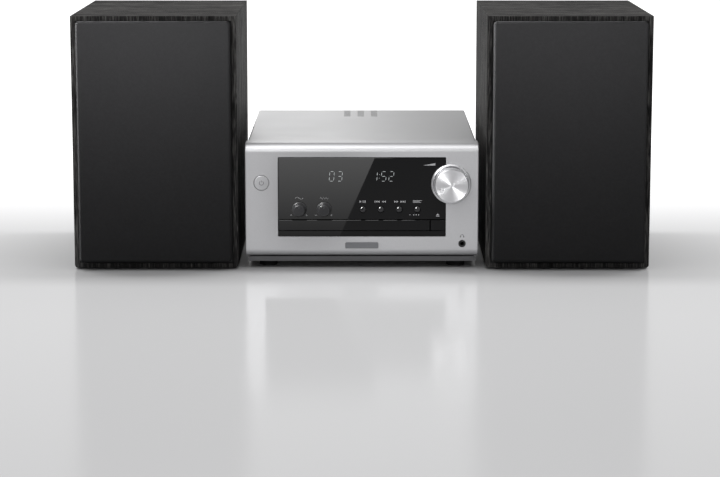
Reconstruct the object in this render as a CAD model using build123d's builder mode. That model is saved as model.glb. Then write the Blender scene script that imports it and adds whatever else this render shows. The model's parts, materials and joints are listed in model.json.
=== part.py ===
"""Mini hifi system: a disc-playing main unit between two bass-reflex speakers.

Millimetres. +X is to the right as seen from the front, +Y points to the back, +Z is up.
The origin is on the surface that the system stands on, midway along the whole length and depth.
"""

import math
import os

from build123d import *

os.makedirs("parts", exist_ok=True)

# ------------------------------------------------------------------ driving dimensions: main unit
unit_width = 211.0
unit_height = 114.0
unit_depth = 266.0
sheet = 1.0
screw_radius = 1.5
screw_head_radius = 2.8
foot_height = 6.3
foot_radius = 8.0

panel_depth = 23.0
panel_wall = 3.0
panel_side_wall = 2.5
panel_bottom = 10.8
panel_top_radius = 8.0
panel_bottom_radius = 7.0
panel_side_radius = 1.2

cover_inset = 1.5
cover_drop = 0.5
cover_gap = 0.4
vent_width = 6.4
vent_slot = 1.7
vent_pitch = 4.0
vent_rows = 13
vent_block_spacing = 13.4
vent_from_rear = 4.0

window_half_width = 76.0
window_bottom = 29.1
window_top = 101.7
window_corner = 1.2
window_gap = 0.5
window_lip = 1.2
lip_thickness = 1.5
sill_line = 34.5
sill_recess = 0.8
split_x = 61.8
split_gap = 0.6
key_thickness = 4.0
display_z = 84.3
display_half_width = 44.0
display_half_height = 11.0

volume_x = 80.5
volume_z = 77.4
volume_ring_radius = 18.0
volume_ring_rim = 1.8
volume_ring_proud = 3.0
volume_ring_floor = 0.8
volume_cap_radius = 15.25
volume_reach = 14.0
volume_edge = 0.8

tone_z = 54.1
bass_x = -56.7
treble_x = -34.2
tone_skirt_radius = 6.9
tone_skirt_height = 1.6
tone_cap_radius = 5.3
tone_reach = 8.6
tone_edge = 0.6

stem_radius = 3.0
stem_clearance = 0.5
bearing_clearance = 0.05
knob_lift = 0.4

button_z = 54.2
button_radius = 3.0
button_proud = 2.2
button_travel = 0.8
button_clearance = 0.3
button_flange = 1.0
power_x = -90.7
power_z = 78.2
power_radius = 6.75
power_proud = 0.6

jack_x = 90.8
jack_z = 22.7
jack_bore_radius = 1.75
jack_collar_radius = 3.4
jack_length = 14.0

badge_width = 30.0
badge_height = 5.6
badge_proud = 0.7
badge_z = 21.2

# ------------------------------------------------------------------ driving dimensions: disc loader
disc_radius = 60.0
well_clearance = 0.6
well_depth = 2.0
tray_width = 132.0
tray_length = 165.0
tray_thickness = 8.0
tray_roof_gap = 1.1
tray_running_gap = 0.3
tray_slot_half = 21.0
tray_travel = 128.0
rail_wall = 3.0
rail_width = 2.6
gear_module = 1.0
gear_teeth = 24
gear_thickness = 3.0
gear_backlash = 0.3
gear_shaft_radius = 1.5
gear_shaft_length = 6.0
pivot_radius = 1.4
turntable_radius = 15.0
spindle_radius = 1.0
clamper_radius = 12.7
sled_length = 18.0
sled_travel = 32.0
transformer_x = 72.0

# ------------------------------------------------------------------ driving dimensions: back
antenna_radius = 4.75
antenna_reach = 9.0
socket_bore_radius = 2.0
socket_bore_length = 12.0
socket_pitch = 14.0
inlet_width = 16.6
inlet_height = 8.4
inlet_depth = 14.0

# ------------------------------------------------------------------ driving dimensions: speakers
speaker_gap = 6.5
speaker_width = 148.0
speaker_height = 229.0
cabinet_depth = 203.5
cabinet_wall = 9.0
cabinet_ahead = 4.0
cabinet_edge_radius = 3.0
rim_wall = 4.5
speaker_foot_height = 1.0
speaker_foot_radius = 7.0
baffle_thickness = 12.0
baffle_recess = 2.0
grille_proud = 9.5
grille_side = 5.5
grille_top = 4.6
grille_bottom = 6.8
grille_corner = 3.0
grille_edge = 2.0
cloth = 0.7
grille_bar = 9.0
lattice_columns = 3
lattice_rows = 4
lattice_rib = 5.0
lattice_depth = 5.0
peg_radius = 2.5
peg_length = 8.0
peg_inset = 9.0
woofer_radius = 50.0
woofer_height = 78.0
tweeter_radius = 24.0
tweeter_height = 176.0
port_radius = 17.0
port_wall = 2.5
port_flare = 6.0
port_length = 70.0
port_height = 165.0
gland_height = 60.0

# ------------------------------------------------------------------ places worked out from those
front_y = -(unit_depth + antenna_reach - volume_reach) / 2
unit_half = unit_width / 2
cover_half = unit_half - cover_inset
cover_top = unit_height - cover_drop
inner_half = unit_half - panel_side_wall
chassis_half = cover_half - sheet - 0.2
floor_top = foot_height + sheet
rear_y = front_y + unit_depth
panel_back = front_y + panel_depth
screw_z = floor_top + 9.0
screw_ys = (front_y + 60.0, rear_y - 40.0)
rear_panel_y = rear_y - 4.0
button_places = {
    "play_button": 0.9,
    "skip_back_button": 17.2,
    "skip_forward_button": 33.7,
    "selector_button": 50.1,
}
tray_left = -window_half_width + 2.8
tray_right = tray_left + tray_width
tray_x = (tray_left + tray_right) / 2
tray_bottom = sill_line + 1.0
tray_top = tray_bottom + tray_thickness
tray_line = tray_top + tray_roof_gap
tray_front_y = front_y + key_thickness
disc_y = tray_front_y + 10.0 + disc_radius
gear_radius = gear_module * gear_teeth / 2
gear_x = tray_right - 22.0
gear_y = front_y + 26.0
gear_bottom = tray_bottom
channel_top = gear_bottom + gear_thickness + 0.4
channel_reach = gear_radius + gear_module + 0.4
pitch_x = gear_x + gear_radius
loader_floor = 20.0
board_y = front_y + 14.0
board_thickness = 1.6
speaker_center = unit_half + speaker_gap + speaker_width / 2
cabinet_front = front_y - cabinet_ahead
cabinet_back = cabinet_front + cabinet_depth
baffle_front = cabinet_front + baffle_recess
baffle_back = baffle_front + baffle_thickness


# ------------------------------------------------------------------ small tools for the sub-parts
def facing(y):
    """Upright plane at y seen from the front: sketch x is X, sketch y is Z, minus is backwards."""
    return Plane.XZ.offset(-y)


def block(x, y, z, mode=Mode.ADD):
    """Block between the low and high ends given for each axis."""
    middle = ((x[0] + x[1]) / 2, (y[0] + y[1]) / 2, (z[0] + z[1]) / 2)
    with Locations(middle):
        Box(x[1] - x[0], y[1] - y[0], z[1] - z[0], mode=mode)


def bar(x, z, radius, y, mode=Mode.ADD):
    """Round bar along Y, from y[0] to y[1]."""
    with BuildSketch(facing(y[0])) as disc:
        with Locations((x, z)):
            Circle(radius)
    extrude(disc.sketch, amount=-(y[1] - y[0]), mode=mode)


def post(x, y, radius, z, mode=Mode.ADD):
    """Round post along Z, from z[0] to z[1]."""
    with BuildSketch(Plane.XY.offset(z[0])) as disc:
        with Locations((x, y)):
            Circle(radius)
    extrude(disc.sketch, amount=z[1] - z[0], mode=mode)


def plate(x, z, y, corner, mode=Mode.ADD):
    """Upright plate with rounded corners, from y[0] back to y[1]."""
    with BuildSketch(facing(y[0])) as face:
        with Locations(((x[0] + x[1]) / 2, (z[0] + z[1]) / 2)):
            RectangleRounded(x[1] - x[0], z[1] - z[0], corner)
    extrude(face.sketch, amount=-(y[1] - y[0]), mode=mode)


def turned(x, z, outline, mode=Mode.ADD):
    """Solid of revolution about a Y axis at (x, z), from (radius, y) corners."""
    with BuildSketch(Plane.XY.offset(z)) as half_section:
        with BuildLine():
            Polyline([(x + radius, y) for radius, y in outline], close=True)
        make_face()
    revolve(half_section.sketch, axis=Axis((x, 0, z), (0, 1, 0)), mode=mode)


def save(piece, label):
    """Name a finished piece and write it."""
    piece.part.label = label
    export_step(piece.part, f"parts/{label}.step")


# ------------------------------------------------------------------ casing of the main unit
# Steel tray on four feet. Its front lip is the dark strip under the front panel.
with BuildPart() as chassis_base:
    block((-chassis_half, chassis_half), (front_y + 3.0, rear_y - 1.0), (foot_height, floor_top))
    block((-chassis_half, chassis_half), (front_y + 3.0, front_y + 4.0), (floor_top, panel_bottom - 0.2))
    block((-chassis_half, chassis_half), (rear_y - 2.0, rear_y - 1.0), (floor_top, floor_top + 6.0))
    for side in (-1, 1):
        lip = sorted((side * chassis_half, side * (chassis_half - sheet)))
        block(lip, (panel_back + 2.0, rear_y - 2.0), (floor_top, floor_top + 14.0))
    for screw_y in screw_ys:
        with BuildSketch(Plane.YZ):
            with Locations((screw_y, screw_z)):
                Circle(screw_radius + 0.1)
        extrude(amount=chassis_half + 1.0, both=True, mode=Mode.SUBTRACT)
save(chassis_base, "chassis_base")

foot_x = unit_half - 20.0
foot_front_y = front_y + 22.0
foot_rear_y = rear_y - 22.0
with BuildPart() as unit_feet:
    for foot_y in (foot_front_y, foot_rear_y):
        for side in (-1, 1):
            with BuildSketch(Plane.XY):
                with Locations((side * foot_x, foot_y)):
                    Circle(foot_radius)
            extrude(amount=foot_height, taper=-6)
save(unit_feet, "unit_feet")

# Folded steel cover, open below and at both ends, with three ladders of vent slots near the back.
with BuildPart() as top_cover:
    block((-cover_half, cover_half), (panel_back + cover_gap, rear_y), (foot_height + 1.5, cover_top))
    fillet(
        top_cover.edges().filter_by(Axis.Y).group_by(Axis.Z)[-1],
        radius=1.5,
    )
    block(
        (-cover_half + sheet, cover_half - sheet),
        (panel_back - 1.0, rear_y + 1.0),
        (0.0, cover_top - sheet),
        mode=Mode.SUBTRACT,
    )
    ladder_length = (vent_rows - 1) * vent_pitch + vent_slot
    ladder_y = rear_y - vent_from_rear - ladder_length / 2
    with BuildSketch(Plane.XY.offset(cover_top - sheet)):
        with Locations((-1.0, ladder_y)):
            with GridLocations(vent_block_spacing, vent_pitch, 3, vent_rows):
                Rectangle(vent_width, vent_slot)
    extrude(amount=2 * sheet, mode=Mode.SUBTRACT)
    for screw_y in screw_ys:
        with BuildSketch(Plane.YZ):
            with Locations((screw_y, screw_z)):
                Circle(screw_radius + 0.1)
        extrude(amount=cover_half + 1.0, both=True, mode=Mode.SUBTRACT)
save(top_cover, "top_cover")

# Moulded front: rounded along its top and bottom edges, hollow behind, open at the back.
with BuildPart() as front_panel:
    with BuildSketch(Plane.YZ) as outer_section:
        with Locations((front_y + panel_depth / 2, (panel_bottom + unit_height) / 2)):
            Rectangle(panel_depth, unit_height - panel_bottom)
        fillet(outer_section.vertices().group_by(Axis.X)[0].sort_by(Axis.Y)[0], panel_bottom_radius)
        fillet(outer_section.vertices().group_by(Axis.X)[0].sort_by(Axis.Y)[-1], panel_top_radius)
    extrude(amount=unit_half, both=True)
    for end in (front_panel.faces().sort_by(Axis.X)[0], front_panel.faces().sort_by(Axis.X)[-1]):
        outline = end.edges().filter_by(lambda edge: edge.center().Y < panel_back - 0.1)
        fillet(outline, radius=panel_side_radius)
    with BuildSketch(Plane.YZ) as inner_section:
        hollow_depth = panel_depth - panel_wall + 1.0
        with Locations((front_y + panel_wall + hollow_depth / 2, (panel_bottom + unit_height) / 2)):
            Rectangle(hollow_depth, unit_height - panel_bottom - 2 * panel_wall)
        fillet(
            inner_section.vertices().group_by(Axis.X)[0].sort_by(Axis.Y)[0],
            panel_bottom_radius - panel_wall,
        )
        fillet(
            inner_section.vertices().group_by(Axis.X)[0].sort_by(Axis.Y)[-1],
            panel_top_radius - panel_wall,
        )
    extrude(amount=inner_half, both=True, mode=Mode.SUBTRACT)
    through_front = (front_y - 1.0, front_y + panel_wall + 1.0)
    plate(
        (-window_half_width, window_half_width),
        (window_bottom, window_top),
        through_front,
        window_corner,
        mode=Mode.SUBTRACT,
    )
    bar(volume_x, volume_z, stem_radius + stem_clearance, through_front, mode=Mode.SUBTRACT)
    bar(power_x, power_z, power_radius + button_clearance, through_front, mode=Mode.SUBTRACT)
    bar(jack_x, jack_z, jack_collar_radius, through_front, mode=Mode.SUBTRACT)
save(front_panel, "front_panel")

# Plain name-plate blank under the window.
with BuildPart() as front_badge:
    plate(
        (-badge_width / 2, badge_width / 2),
        (badge_z - badge_height / 2, badge_z + badge_height / 2),
        (front_y - badge_proud, front_y),
        1.2,
    )
    fillet(front_badge.faces().sort_by(Axis.Y)[0].edges(), radius=0.3)
save(front_badge, "front_badge")

# ------------------------------------------------------------------ window, sill and display
pane_left = -window_half_width + window_gap
pane_right = window_half_width - window_gap
pane_bottom = tray_line + window_gap / 2
pane_top = window_top - window_gap
lip_y = (front_y + panel_wall, front_y + panel_wall + lip_thickness)

# Smoked acrylic pane, held by a lip behind the front panel.
with BuildPart() as display_window:
    plate((pane_left, pane_right), (pane_bottom, pane_top), (front_y, lip_y[1]), 1.0)
    chamfer(display_window.faces().sort_by(Axis.Y)[0].edges(), length=0.3)
    block(
        (-window_half_width - window_lip + 0.4, window_half_width + window_lip - 0.4),
        lip_y,
        (pane_bottom + 1.0, window_top + window_lip),
    )
    block((pane_left + 3.0, pane_right - 3.0), lip_y, (pane_bottom + 3.0, pane_top - 2.0), Mode.SUBTRACT)
    window_through = (front_y - 1.0, lip_y[1] + 1.0)
    for knob_x in (bass_x, treble_x):
        bar(knob_x, tone_z, stem_radius + stem_clearance, window_through, mode=Mode.SUBTRACT)
    for button_x in button_places.values():
        bar(button_x, button_z, button_radius + button_clearance, window_through, mode=Mode.SUBTRACT)
save(display_window, "display_window")

# Black strip below the tray, set back from the pane.
with BuildPart() as window_sill:
    block(
        (pane_left, pane_right),
        (front_y + sill_recess, lip_y[1]),
        (window_bottom + window_gap / 2, sill_line - window_gap / 2),
    )
    block(
        (-window_half_width - window_lip, window_half_width + window_lip),
        lip_y,
        (window_bottom - window_lip, sill_line - window_gap),
    )
save(window_sill, "window_sill")

# Display tube with its holder, standing in front of the front board.
with BuildPart() as display_module:
    block(
        (-display_half_width, display_half_width),
        (lip_y[1] + 1.1, board_y),
        (display_z - display_half_height, display_z + display_half_height),
    )
    chamfer(display_module.faces().sort_by(Axis.Y)[0].edges(), length=0.8)
save(display_module, "display_module")

# ------------------------------------------------------------------ front board with its controls
stem_end = board_y - 1.5
switch_front = board_y - 3.0
with BuildPart() as front_board:
    board = (board_y, board_y + board_thickness)
    block((-inner_half + 3.0, inner_half - 3.0), board, (loader_floor + 32.0, unit_height - 8.0))
    block((split_x + 4.0, inner_half - 3.0), board, (sill_line - 1.0, loader_floor + 32.0))
    for knob_x in (bass_x, treble_x):
        block((knob_x - 6.5, knob_x + 6.5), (front_y + 7.0, board_y), (tone_z - 1.5, tone_z + 11.0))
        block((knob_x - 6.5, knob_x + 6.5), (front_y + 7.0, board_y - 0.5), (tone_z - 6.0, tone_z - 1.5))
    block((volume_x - 8.0, volume_x + 8.0), (front_y + 6.0, board_y), (volume_z - 8.0, volume_z + 8.0))
    for knob_x, knob_z in ((bass_x, tone_z), (treble_x, tone_z), (volume_x, volume_z)):
        bar(
            knob_x,
            knob_z,
            stem_radius + bearing_clearance,
            (front_y, board_y - 1.0),
            mode=Mode.SUBTRACT,
        )
    for button_x in button_places.values():
        block((button_x - 3.0, button_x + 3.0), (switch_front, board_y), (button_z - 2.0, button_z + 3.0))
    block((power_x - 3.0, power_x + 3.0), (switch_front, board_y), (power_z - 3.0, power_z + 3.0))
    eject_x = (split_x + pane_right) / 2 + 1.0
    eject_z = (sill_line + tray_line) / 2
    block((eject_x - 3.0, eject_x + 3.0), (switch_front, board_y), (eject_z - 3.0, eject_z + 3.0))
save(front_board, "front_board")

# ------------------------------------------------------------------ knobs
# Fixed ring that the volume knob stands in.
with BuildPart() as volume_ring:
    ring_inner = volume_ring_radius - volume_ring_rim
    turned(
        volume_x,
        volume_z,
        [
            (stem_radius + stem_clearance, front_y),
            (volume_ring_radius, front_y),
            (volume_ring_radius, front_y - volume_ring_proud + 0.9),
            (volume_ring_radius - 0.9, front_y - volume_ring_proud),
            (ring_inner, front_y - volume_ring_proud),
            (ring_inner, front_y - volume_ring_floor),
            (stem_radius + stem_clearance, front_y - volume_ring_floor),
        ],
    )
save(volume_ring, "volume_ring")

# Volume knob: a deep cap with a slightly dished face, on a stem that runs in the encoder.
with BuildPart() as volume_knob:
    cap_back = front_y - volume_ring_floor - knob_lift
    cap_front = front_y - volume_reach
    turned(
        volume_x,
        volume_z,
        [
            (0.0, cap_front + 0.5),
            (volume_cap_radius - 1.6, cap_front),
            (volume_cap_radius - volume_edge, cap_front),
            (volume_cap_radius, cap_front + volume_edge),
            (volume_cap_radius, cap_back),
            (stem_radius, cap_back),
            (stem_radius, stem_end),
            (0.0, stem_end),
        ],
    )
save(volume_knob, "volume_knob")

# Tone knobs: a low skirt with a taller cap, and a pointer line cut across the face.
for knob_name, knob_x in (("bass_knob", bass_x), ("treble_knob", treble_x)):
    with BuildPart() as tone_knob:
        skirt_back = front_y - knob_lift
        skirt_front = skirt_back - tone_skirt_height
        face_y = front_y - tone_reach
        turned(
            knob_x,
            tone_z,
            [
                (0.0, face_y),
                (tone_cap_radius - tone_edge, face_y),
                (tone_cap_radius, face_y + tone_edge),
                (tone_cap_radius, skirt_front),
                (tone_skirt_radius - 0.5, skirt_front),
                (tone_skirt_radius, skirt_front + 0.5),
                (tone_skirt_radius, skirt_back),
                (stem_radius, skirt_back),
                (stem_radius, stem_end),
                (0.0, stem_end),
            ],
        )
        block(
            (knob_x - 0.35, knob_x + 0.35),
            (face_y - 1.0, face_y + 0.35),
            (tone_z + 2.0, tone_z + tone_cap_radius + 1.0),
            mode=Mode.SUBTRACT,
        )
    save(tone_knob, knob_name)

# ------------------------------------------------------------------ buttons
flange_y = (lip_y[1] + 0.2, lip_y[1] + 1.2)
button_end = switch_front - button_travel - 0.4

# Four small domed buttons, each with a flange that keeps it behind the pane.
for button_name, button_x in button_places.items():
    with BuildPart() as dome_button:
        with BuildSketch(Plane.XY.offset(button_z)):
            with BuildLine():
                top = (button_x, front_y - button_proud)
                shoulder = (button_x + button_radius, front_y - 0.4)
                crown = (button_x + button_radius * 0.62, front_y - button_proud * 0.82)
                ThreePointArc(top, crown, shoulder)
                Polyline(
                    shoulder,
                    (button_x + button_radius, flange_y[0]),
                    (button_x + button_radius + button_flange, flange_y[0]),
                    (button_x + button_radius + button_flange, flange_y[1]),
                    (button_x + 1.2, flange_y[1]),
                    (button_x + 1.2, button_end),
                    (button_x, button_end),
                    top,
                )
            make_face()
        revolve(axis=Axis((button_x, 0, button_z), (0, 1, 0)))
    save(dome_button, button_name)

# Round power button in the silver panel.
with BuildPart() as power_button:
    turned(
        power_x,
        power_z,
        [
            (0.0, front_y - power_proud),
            (power_radius - 0.4, front_y - power_proud),
            (power_radius, front_y - power_proud + 0.4),
            (power_radius, front_y + panel_wall + 0.2),
            (power_radius + 1.2, front_y + panel_wall + 0.2),
            (power_radius + 1.2, front_y + panel_wall + 1.4),
            (1.6, front_y + panel_wall + 1.4),
            (1.6, button_end),
            (0.0, button_end),
        ],
    )
save(power_button, "power_button")

# Eject key, cut off the right end of the tray's front.
key_z = (sill_line + window_gap / 2, tray_line - window_gap / 2)
with BuildPart() as eject_button:
    block((split_x + split_gap / 2, pane_right), (front_y, front_y + key_thickness), key_z)
    chamfer(eject_button.faces().sort_by(Axis.Y)[0].edges(), length=0.3)
    block((eject_x - 1.5, eject_x + 1.5), (front_y + key_thickness, button_end), (eject_z - 1.5, eject_z + 1.5))
save(eject_button, "eject_button")

# ------------------------------------------------------------------ disc loader
# Front strip of the tray: it closes the slot when the tray is in.
with BuildPart() as tray_front:
    block((pane_left, split_x - split_gap / 2), (front_y, tray_front_y), key_z)
    chamfer(tray_front.faces().sort_by(Axis.Y)[0].edges(), length=0.3)
save(tray_front, "tray_front")


tooth_pitch = math.pi * gear_module
half_tooth = (tooth_pitch / 2 - gear_backlash) / 2
flank_slope = math.tan(math.radians(20))
tooth_tip_half = half_tooth - gear_module * flank_slope
tooth_root_half = half_tooth + 1.25 * gear_module * flank_slope
rack_root_x = pitch_x + 1.25 * gear_module
rack_first = -3
rack_last = int((tray_travel + 10.0) / tooth_pitch)


# Tray: a round well for a 120 mm disc, a slot for the drive that is open at the back, and a channel
# underneath that the gear runs in, with rack teeth along its right side.
with BuildPart() as disc_tray:
    block((tray_left, tray_right), (tray_front_y, tray_front_y + tray_length), (tray_bottom, tray_top))
    with BuildSketch(Plane.XY.offset(tray_top)):
        with Locations((tray_x, disc_y)):
            Circle(disc_radius + well_clearance)
    extrude(amount=-well_depth, mode=Mode.SUBTRACT)
    block(
        (tray_x - tray_slot_half, tray_x + tray_slot_half),
        (disc_y - tray_slot_half, tray_front_y + tray_length + 1.0),
        (tray_bottom - 1.0, tray_top + 1.0),
        mode=Mode.SUBTRACT,
    )
    block(
        (gear_x - channel_reach, rack_root_x),
        (gear_y - channel_reach, gear_y + tray_travel + channel_reach),
        (tray_bottom - 1.0, channel_top),
        mode=Mode.SUBTRACT,
    )
    # The rack has a gap between teeth where the gear's tooth stands at rest.
    with BuildSketch(Plane.XY.offset(tray_bottom)):
        for number in range(rack_first, rack_last):
            tooth_y = gear_y + (number + 0.5) * tooth_pitch
            with BuildLine():
                Polyline(
                    (rack_root_x + 0.3, tooth_y - tooth_root_half),
                    (rack_root_x, tooth_y - tooth_root_half),
                    (pitch_x - gear_module, tooth_y - tooth_tip_half),
                    (pitch_x - gear_module, tooth_y + tooth_tip_half),
                    (rack_root_x, tooth_y + tooth_root_half),
                    (rack_root_x + 0.3, tooth_y + tooth_root_half),
                    close=True,
                )
            make_face()
    extrude(amount=channel_top - tray_bottom)
save(disc_tray, "disc_tray")

# Gear that pushes the tray, with straight-flanked teeth and its shaft.
with BuildPart() as tray_gear:
    with BuildSketch(Plane.XY.offset(gear_bottom)) as gear_outline:
        with Locations((gear_x, gear_y)):
            Circle(gear_radius - 1.25 * gear_module)
        tooth_root = gear_radius - 1.25 * gear_module - 0.2
        tooth_tip = gear_radius + gear_module
        root_half_width = half_tooth + 1.25 * gear_module * 0.33
        tip_half_width = half_tooth - gear_module * 0.42
        with Locations((gear_x, gear_y)):
            with PolarLocations(0, gear_teeth):
                Polygon(
                    (tooth_root, -root_half_width),
                    (tooth_tip, -tip_half_width),
                    (tooth_tip, tip_half_width),
                    (tooth_root, root_half_width),
                    align=None,
                )
    extrude(amount=gear_thickness)
    post(gear_x, gear_y, gear_shaft_radius, (gear_bottom - gear_shaft_length, gear_bottom))
save(tray_gear, "tray_gear")

# Geared motor that carries the tray gear on its output shaft.
with BuildPart() as loader_motor:
    motor_top = gear_bottom - 0.6
    block((gear_x - 9.0, gear_x + 9.0), (gear_y - 9.0, gear_y + 15.0), (loader_floor + 2.0, motor_top))
    fillet(loader_motor.edges().filter_by(Axis.Z), radius=3.0)
    post(
        gear_x,
        gear_y,
        gear_shaft_radius + bearing_clearance,
        (gear_bottom - gear_shaft_length - 0.5, motor_top),
        mode=Mode.SUBTRACT,
    )
save(loader_motor, "loader_motor")

# Moulded frame: two side rails, a floor with a well for the traverse, a bridge and four legs.
rail_left = tray_left - tray_running_gap
rail_right = tray_right + tray_running_gap
frame_y = (front_y + 18.0, tray_front_y + tray_length + 16.0)
frame_top = tray_top + 5.5
traverse_x = (tray_x - 23.0, tray_x + 23.0)
traverse_y = (disc_y - 24.0, disc_y + 76.0)
traverse_top = loader_floor + 6.5
traverse_thickness = 3.0
pivot_y = traverse_y[1] - 2.0
pivot_z = traverse_top - traverse_thickness / 2
bridge_y = (disc_y - 18.0, disc_y + 18.0)
with BuildPart() as loader_frame:
    block((rail_left - rail_wall, rail_right + rail_wall), frame_y, (loader_floor, loader_floor + 2.0))
    block(
        (traverse_x[0] - 3.0, traverse_x[1] + 3.0),
        (traverse_y[0] - 4.0, traverse_y[1] + 4.0),
        (loader_floor - 1.0, loader_floor + 3.0),
        mode=Mode.SUBTRACT,
    )
    for wall_x, ledge_x in (
        ((rail_left - rail_wall, rail_left), (rail_left, rail_left + rail_width)),
        ((rail_right, rail_right + rail_wall), (rail_right - rail_width, rail_right)),
    ):
        block(wall_x, frame_y, (loader_floor, frame_top))
        block(ledge_x, frame_y, (tray_bottom - tray_running_gap - 2.0, tray_bottom - tray_running_gap))
        block(ledge_x, (frame_y[0], frame_y[0] + 40.0), (tray_top + tray_running_gap, tray_top + 2.3))
        for leg_start in (panel_back + 2.0, frame_y[1] - 8.0):
            block(wall_x, (leg_start, leg_start + 8.0), (floor_top, loader_floor))
    for ear_x in (
        (traverse_x[0] - 6.0, traverse_x[0] - 3.0),
        (traverse_x[1] + 3.0, traverse_x[1] + 6.0),
    ):
        block(ear_x, (pivot_y - 4.0, pivot_y + 4.0), (loader_floor + 2.0, pivot_z + 4.0))
    with BuildSketch(Plane.YZ.offset(tray_x)):
        with Locations((pivot_y, pivot_z)):
            Circle(pivot_radius + bearing_clearance)
    extrude(amount=30.0, both=True, mode=Mode.SUBTRACT)
    block((rail_left - rail_wall, rail_right + rail_wall), bridge_y, (frame_top - 2.0, frame_top))
    post(tray_x, disc_y, clamper_radius + 0.3, (frame_top - 3.0, frame_top + 1.0), mode=Mode.SUBTRACT)
save(loader_frame, "loader_frame")

# Puck that holds the disc down, hanging loose in the bridge.
with BuildPart() as disc_clamper:
    post(tray_x, disc_y, clamper_radius, (tray_top + 1.2, frame_top + 0.3))
    post(tray_x, disc_y, clamper_radius + 3.0, (frame_top + 0.3, frame_top + 1.8))
save(disc_clamper, "disc_clamper")

# Traverse: a plate on two pivots, with the spindle motor and two guide rods for the laser sled.
rod_z = traverse_top + 3.5
rod_radius = 1.5
rod_offset = 18.0
rod_start = disc_y + 16.0
sled_y = (rod_start + 2.5, rod_start + 2.5 + sled_length)
rod_y = (rod_start, sled_y[1] + sled_travel + 3.5)
with BuildPart() as traverse:
    block(traverse_x, traverse_y, (traverse_top - traverse_thickness, traverse_top))
    with BuildSketch(Plane.YZ.offset(tray_x)):
        with Locations((pivot_y, pivot_z)):
            Circle(pivot_radius)
    extrude(amount=(traverse_x[1] - traverse_x[0]) / 2 + 5.5, both=True)
    block(
        (tray_x - 12.0, tray_x + 12.0),
        (rod_y[0] + 6.0, rod_y[1] - 4.0),
        (traverse_top - 4.0, traverse_top + 1.0),
        mode=Mode.SUBTRACT,
    )
    post(tray_x, disc_y, 10.0, (traverse_top, traverse_top + 8.0))
    post(
        tray_x,
        disc_y,
        spindle_radius + bearing_clearance,
        (traverse_top - 1.0, traverse_top + 9.0),
        mode=Mode.SUBTRACT,
    )
    for side in (-1, 1):
        rod_x = tray_x + side * rod_offset
        bar(rod_x, rod_z, rod_radius, rod_y)
        for end_y in rod_y:
            block((rod_x - 3.0, rod_x + 3.0), (end_y - 2.0, end_y + 2.0), (traverse_top, rod_z + 3.0))
save(traverse, "traverse")

# Turntable with the centring cone that the disc drops onto.
table_top = tray_top - well_depth + 0.6
with BuildPart() as turntable:
    post(tray_x, disc_y, spindle_radius, (traverse_top - 0.5, table_top))
    post(tray_x, disc_y, turntable_radius, (table_top - 2.0, table_top))
    with BuildSketch(Plane.XY.offset(table_top)):
        with Locations((tray_x, disc_y)):
            Circle(7.4)
    extrude(amount=1.8, taper=25)
save(turntable, "turntable")

# Laser sled on the guide rods, with its lens on top.
with BuildPart() as pickup_sled:
    block((tray_x - 21.5, tray_x + 21.5), sled_y, (rod_z - 2.6, rod_z + 2.6))
    block((tray_x - 11.0, tray_x + 11.0), sled_y, (rod_z + 2.6, tray_bottom + 0.5))
    post(tray_x, sum(sled_y) / 2, 3.2, (tray_bottom + 0.5, tray_bottom + 2.0))
    for side in (-1, 1):
        bar(
            tray_x + side * rod_offset,
            rod_z,
            rod_radius + bearing_clearance,
            (sled_y[0] - 1.0, sled_y[1] + 1.0),
            mode=Mode.SUBTRACT,
        )
save(pickup_sled, "pickup_sled")

# ------------------------------------------------------------------ electronics at the back
main_board_y = (frame_y[1] + 4.0, rear_panel_y - 14.0)
main_board_x = (-inner_half + 6.0, transformer_x - 30.0)
with BuildPart() as main_board:
    board_z = floor_top + 5.0
    block(main_board_x, main_board_y, (board_z, board_z + board_thickness))
    with Locations((main_board_x[0] + 18.0, sum(main_board_y) / 2, board_z + board_thickness)):
        with GridLocations(0, 22.0, 1, 2):
            Cylinder(9.0, 32.0, align=(Align.CENTER, Align.CENTER, Align.MIN))
    fins_x = main_board_x[1] - 50.0
    for fin in range(7):
        fin_y = main_board_y[0] + 6.0 + fin * 5.0
        block((fins_x, fins_x + 40.0), (fin_y, fin_y + 1.6), (board_z + 4.0, board_z + 44.0))
    fins_back = main_board_y[0] + 6.0 + 6 * 5.0 + 1.6
    block(
        (fins_x, fins_x + 40.0),
        (main_board_y[0] + 6.0, fins_back),
        (board_z + board_thickness, board_z + 4.0),
    )
save(main_board, "main_board")

with BuildPart() as power_transformer:
    core_x = (transformer_x - 20.0, transformer_x + 20.0)
    core_y = (main_board_y[0] + 4.0, main_board_y[0] + 30.0)
    core_z = (floor_top, floor_top + 46.0)
    block(core_x, core_y, core_z)
    plate(
        (core_x[0] + 9.0, core_x[1] - 9.0),
        (core_z[0] + 9.0, core_z[1] - 9.0),
        (core_y[0] - 7.0, core_y[1] + 7.0),
        4.0,
    )
save(power_transformer, "power_transformer")

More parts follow.
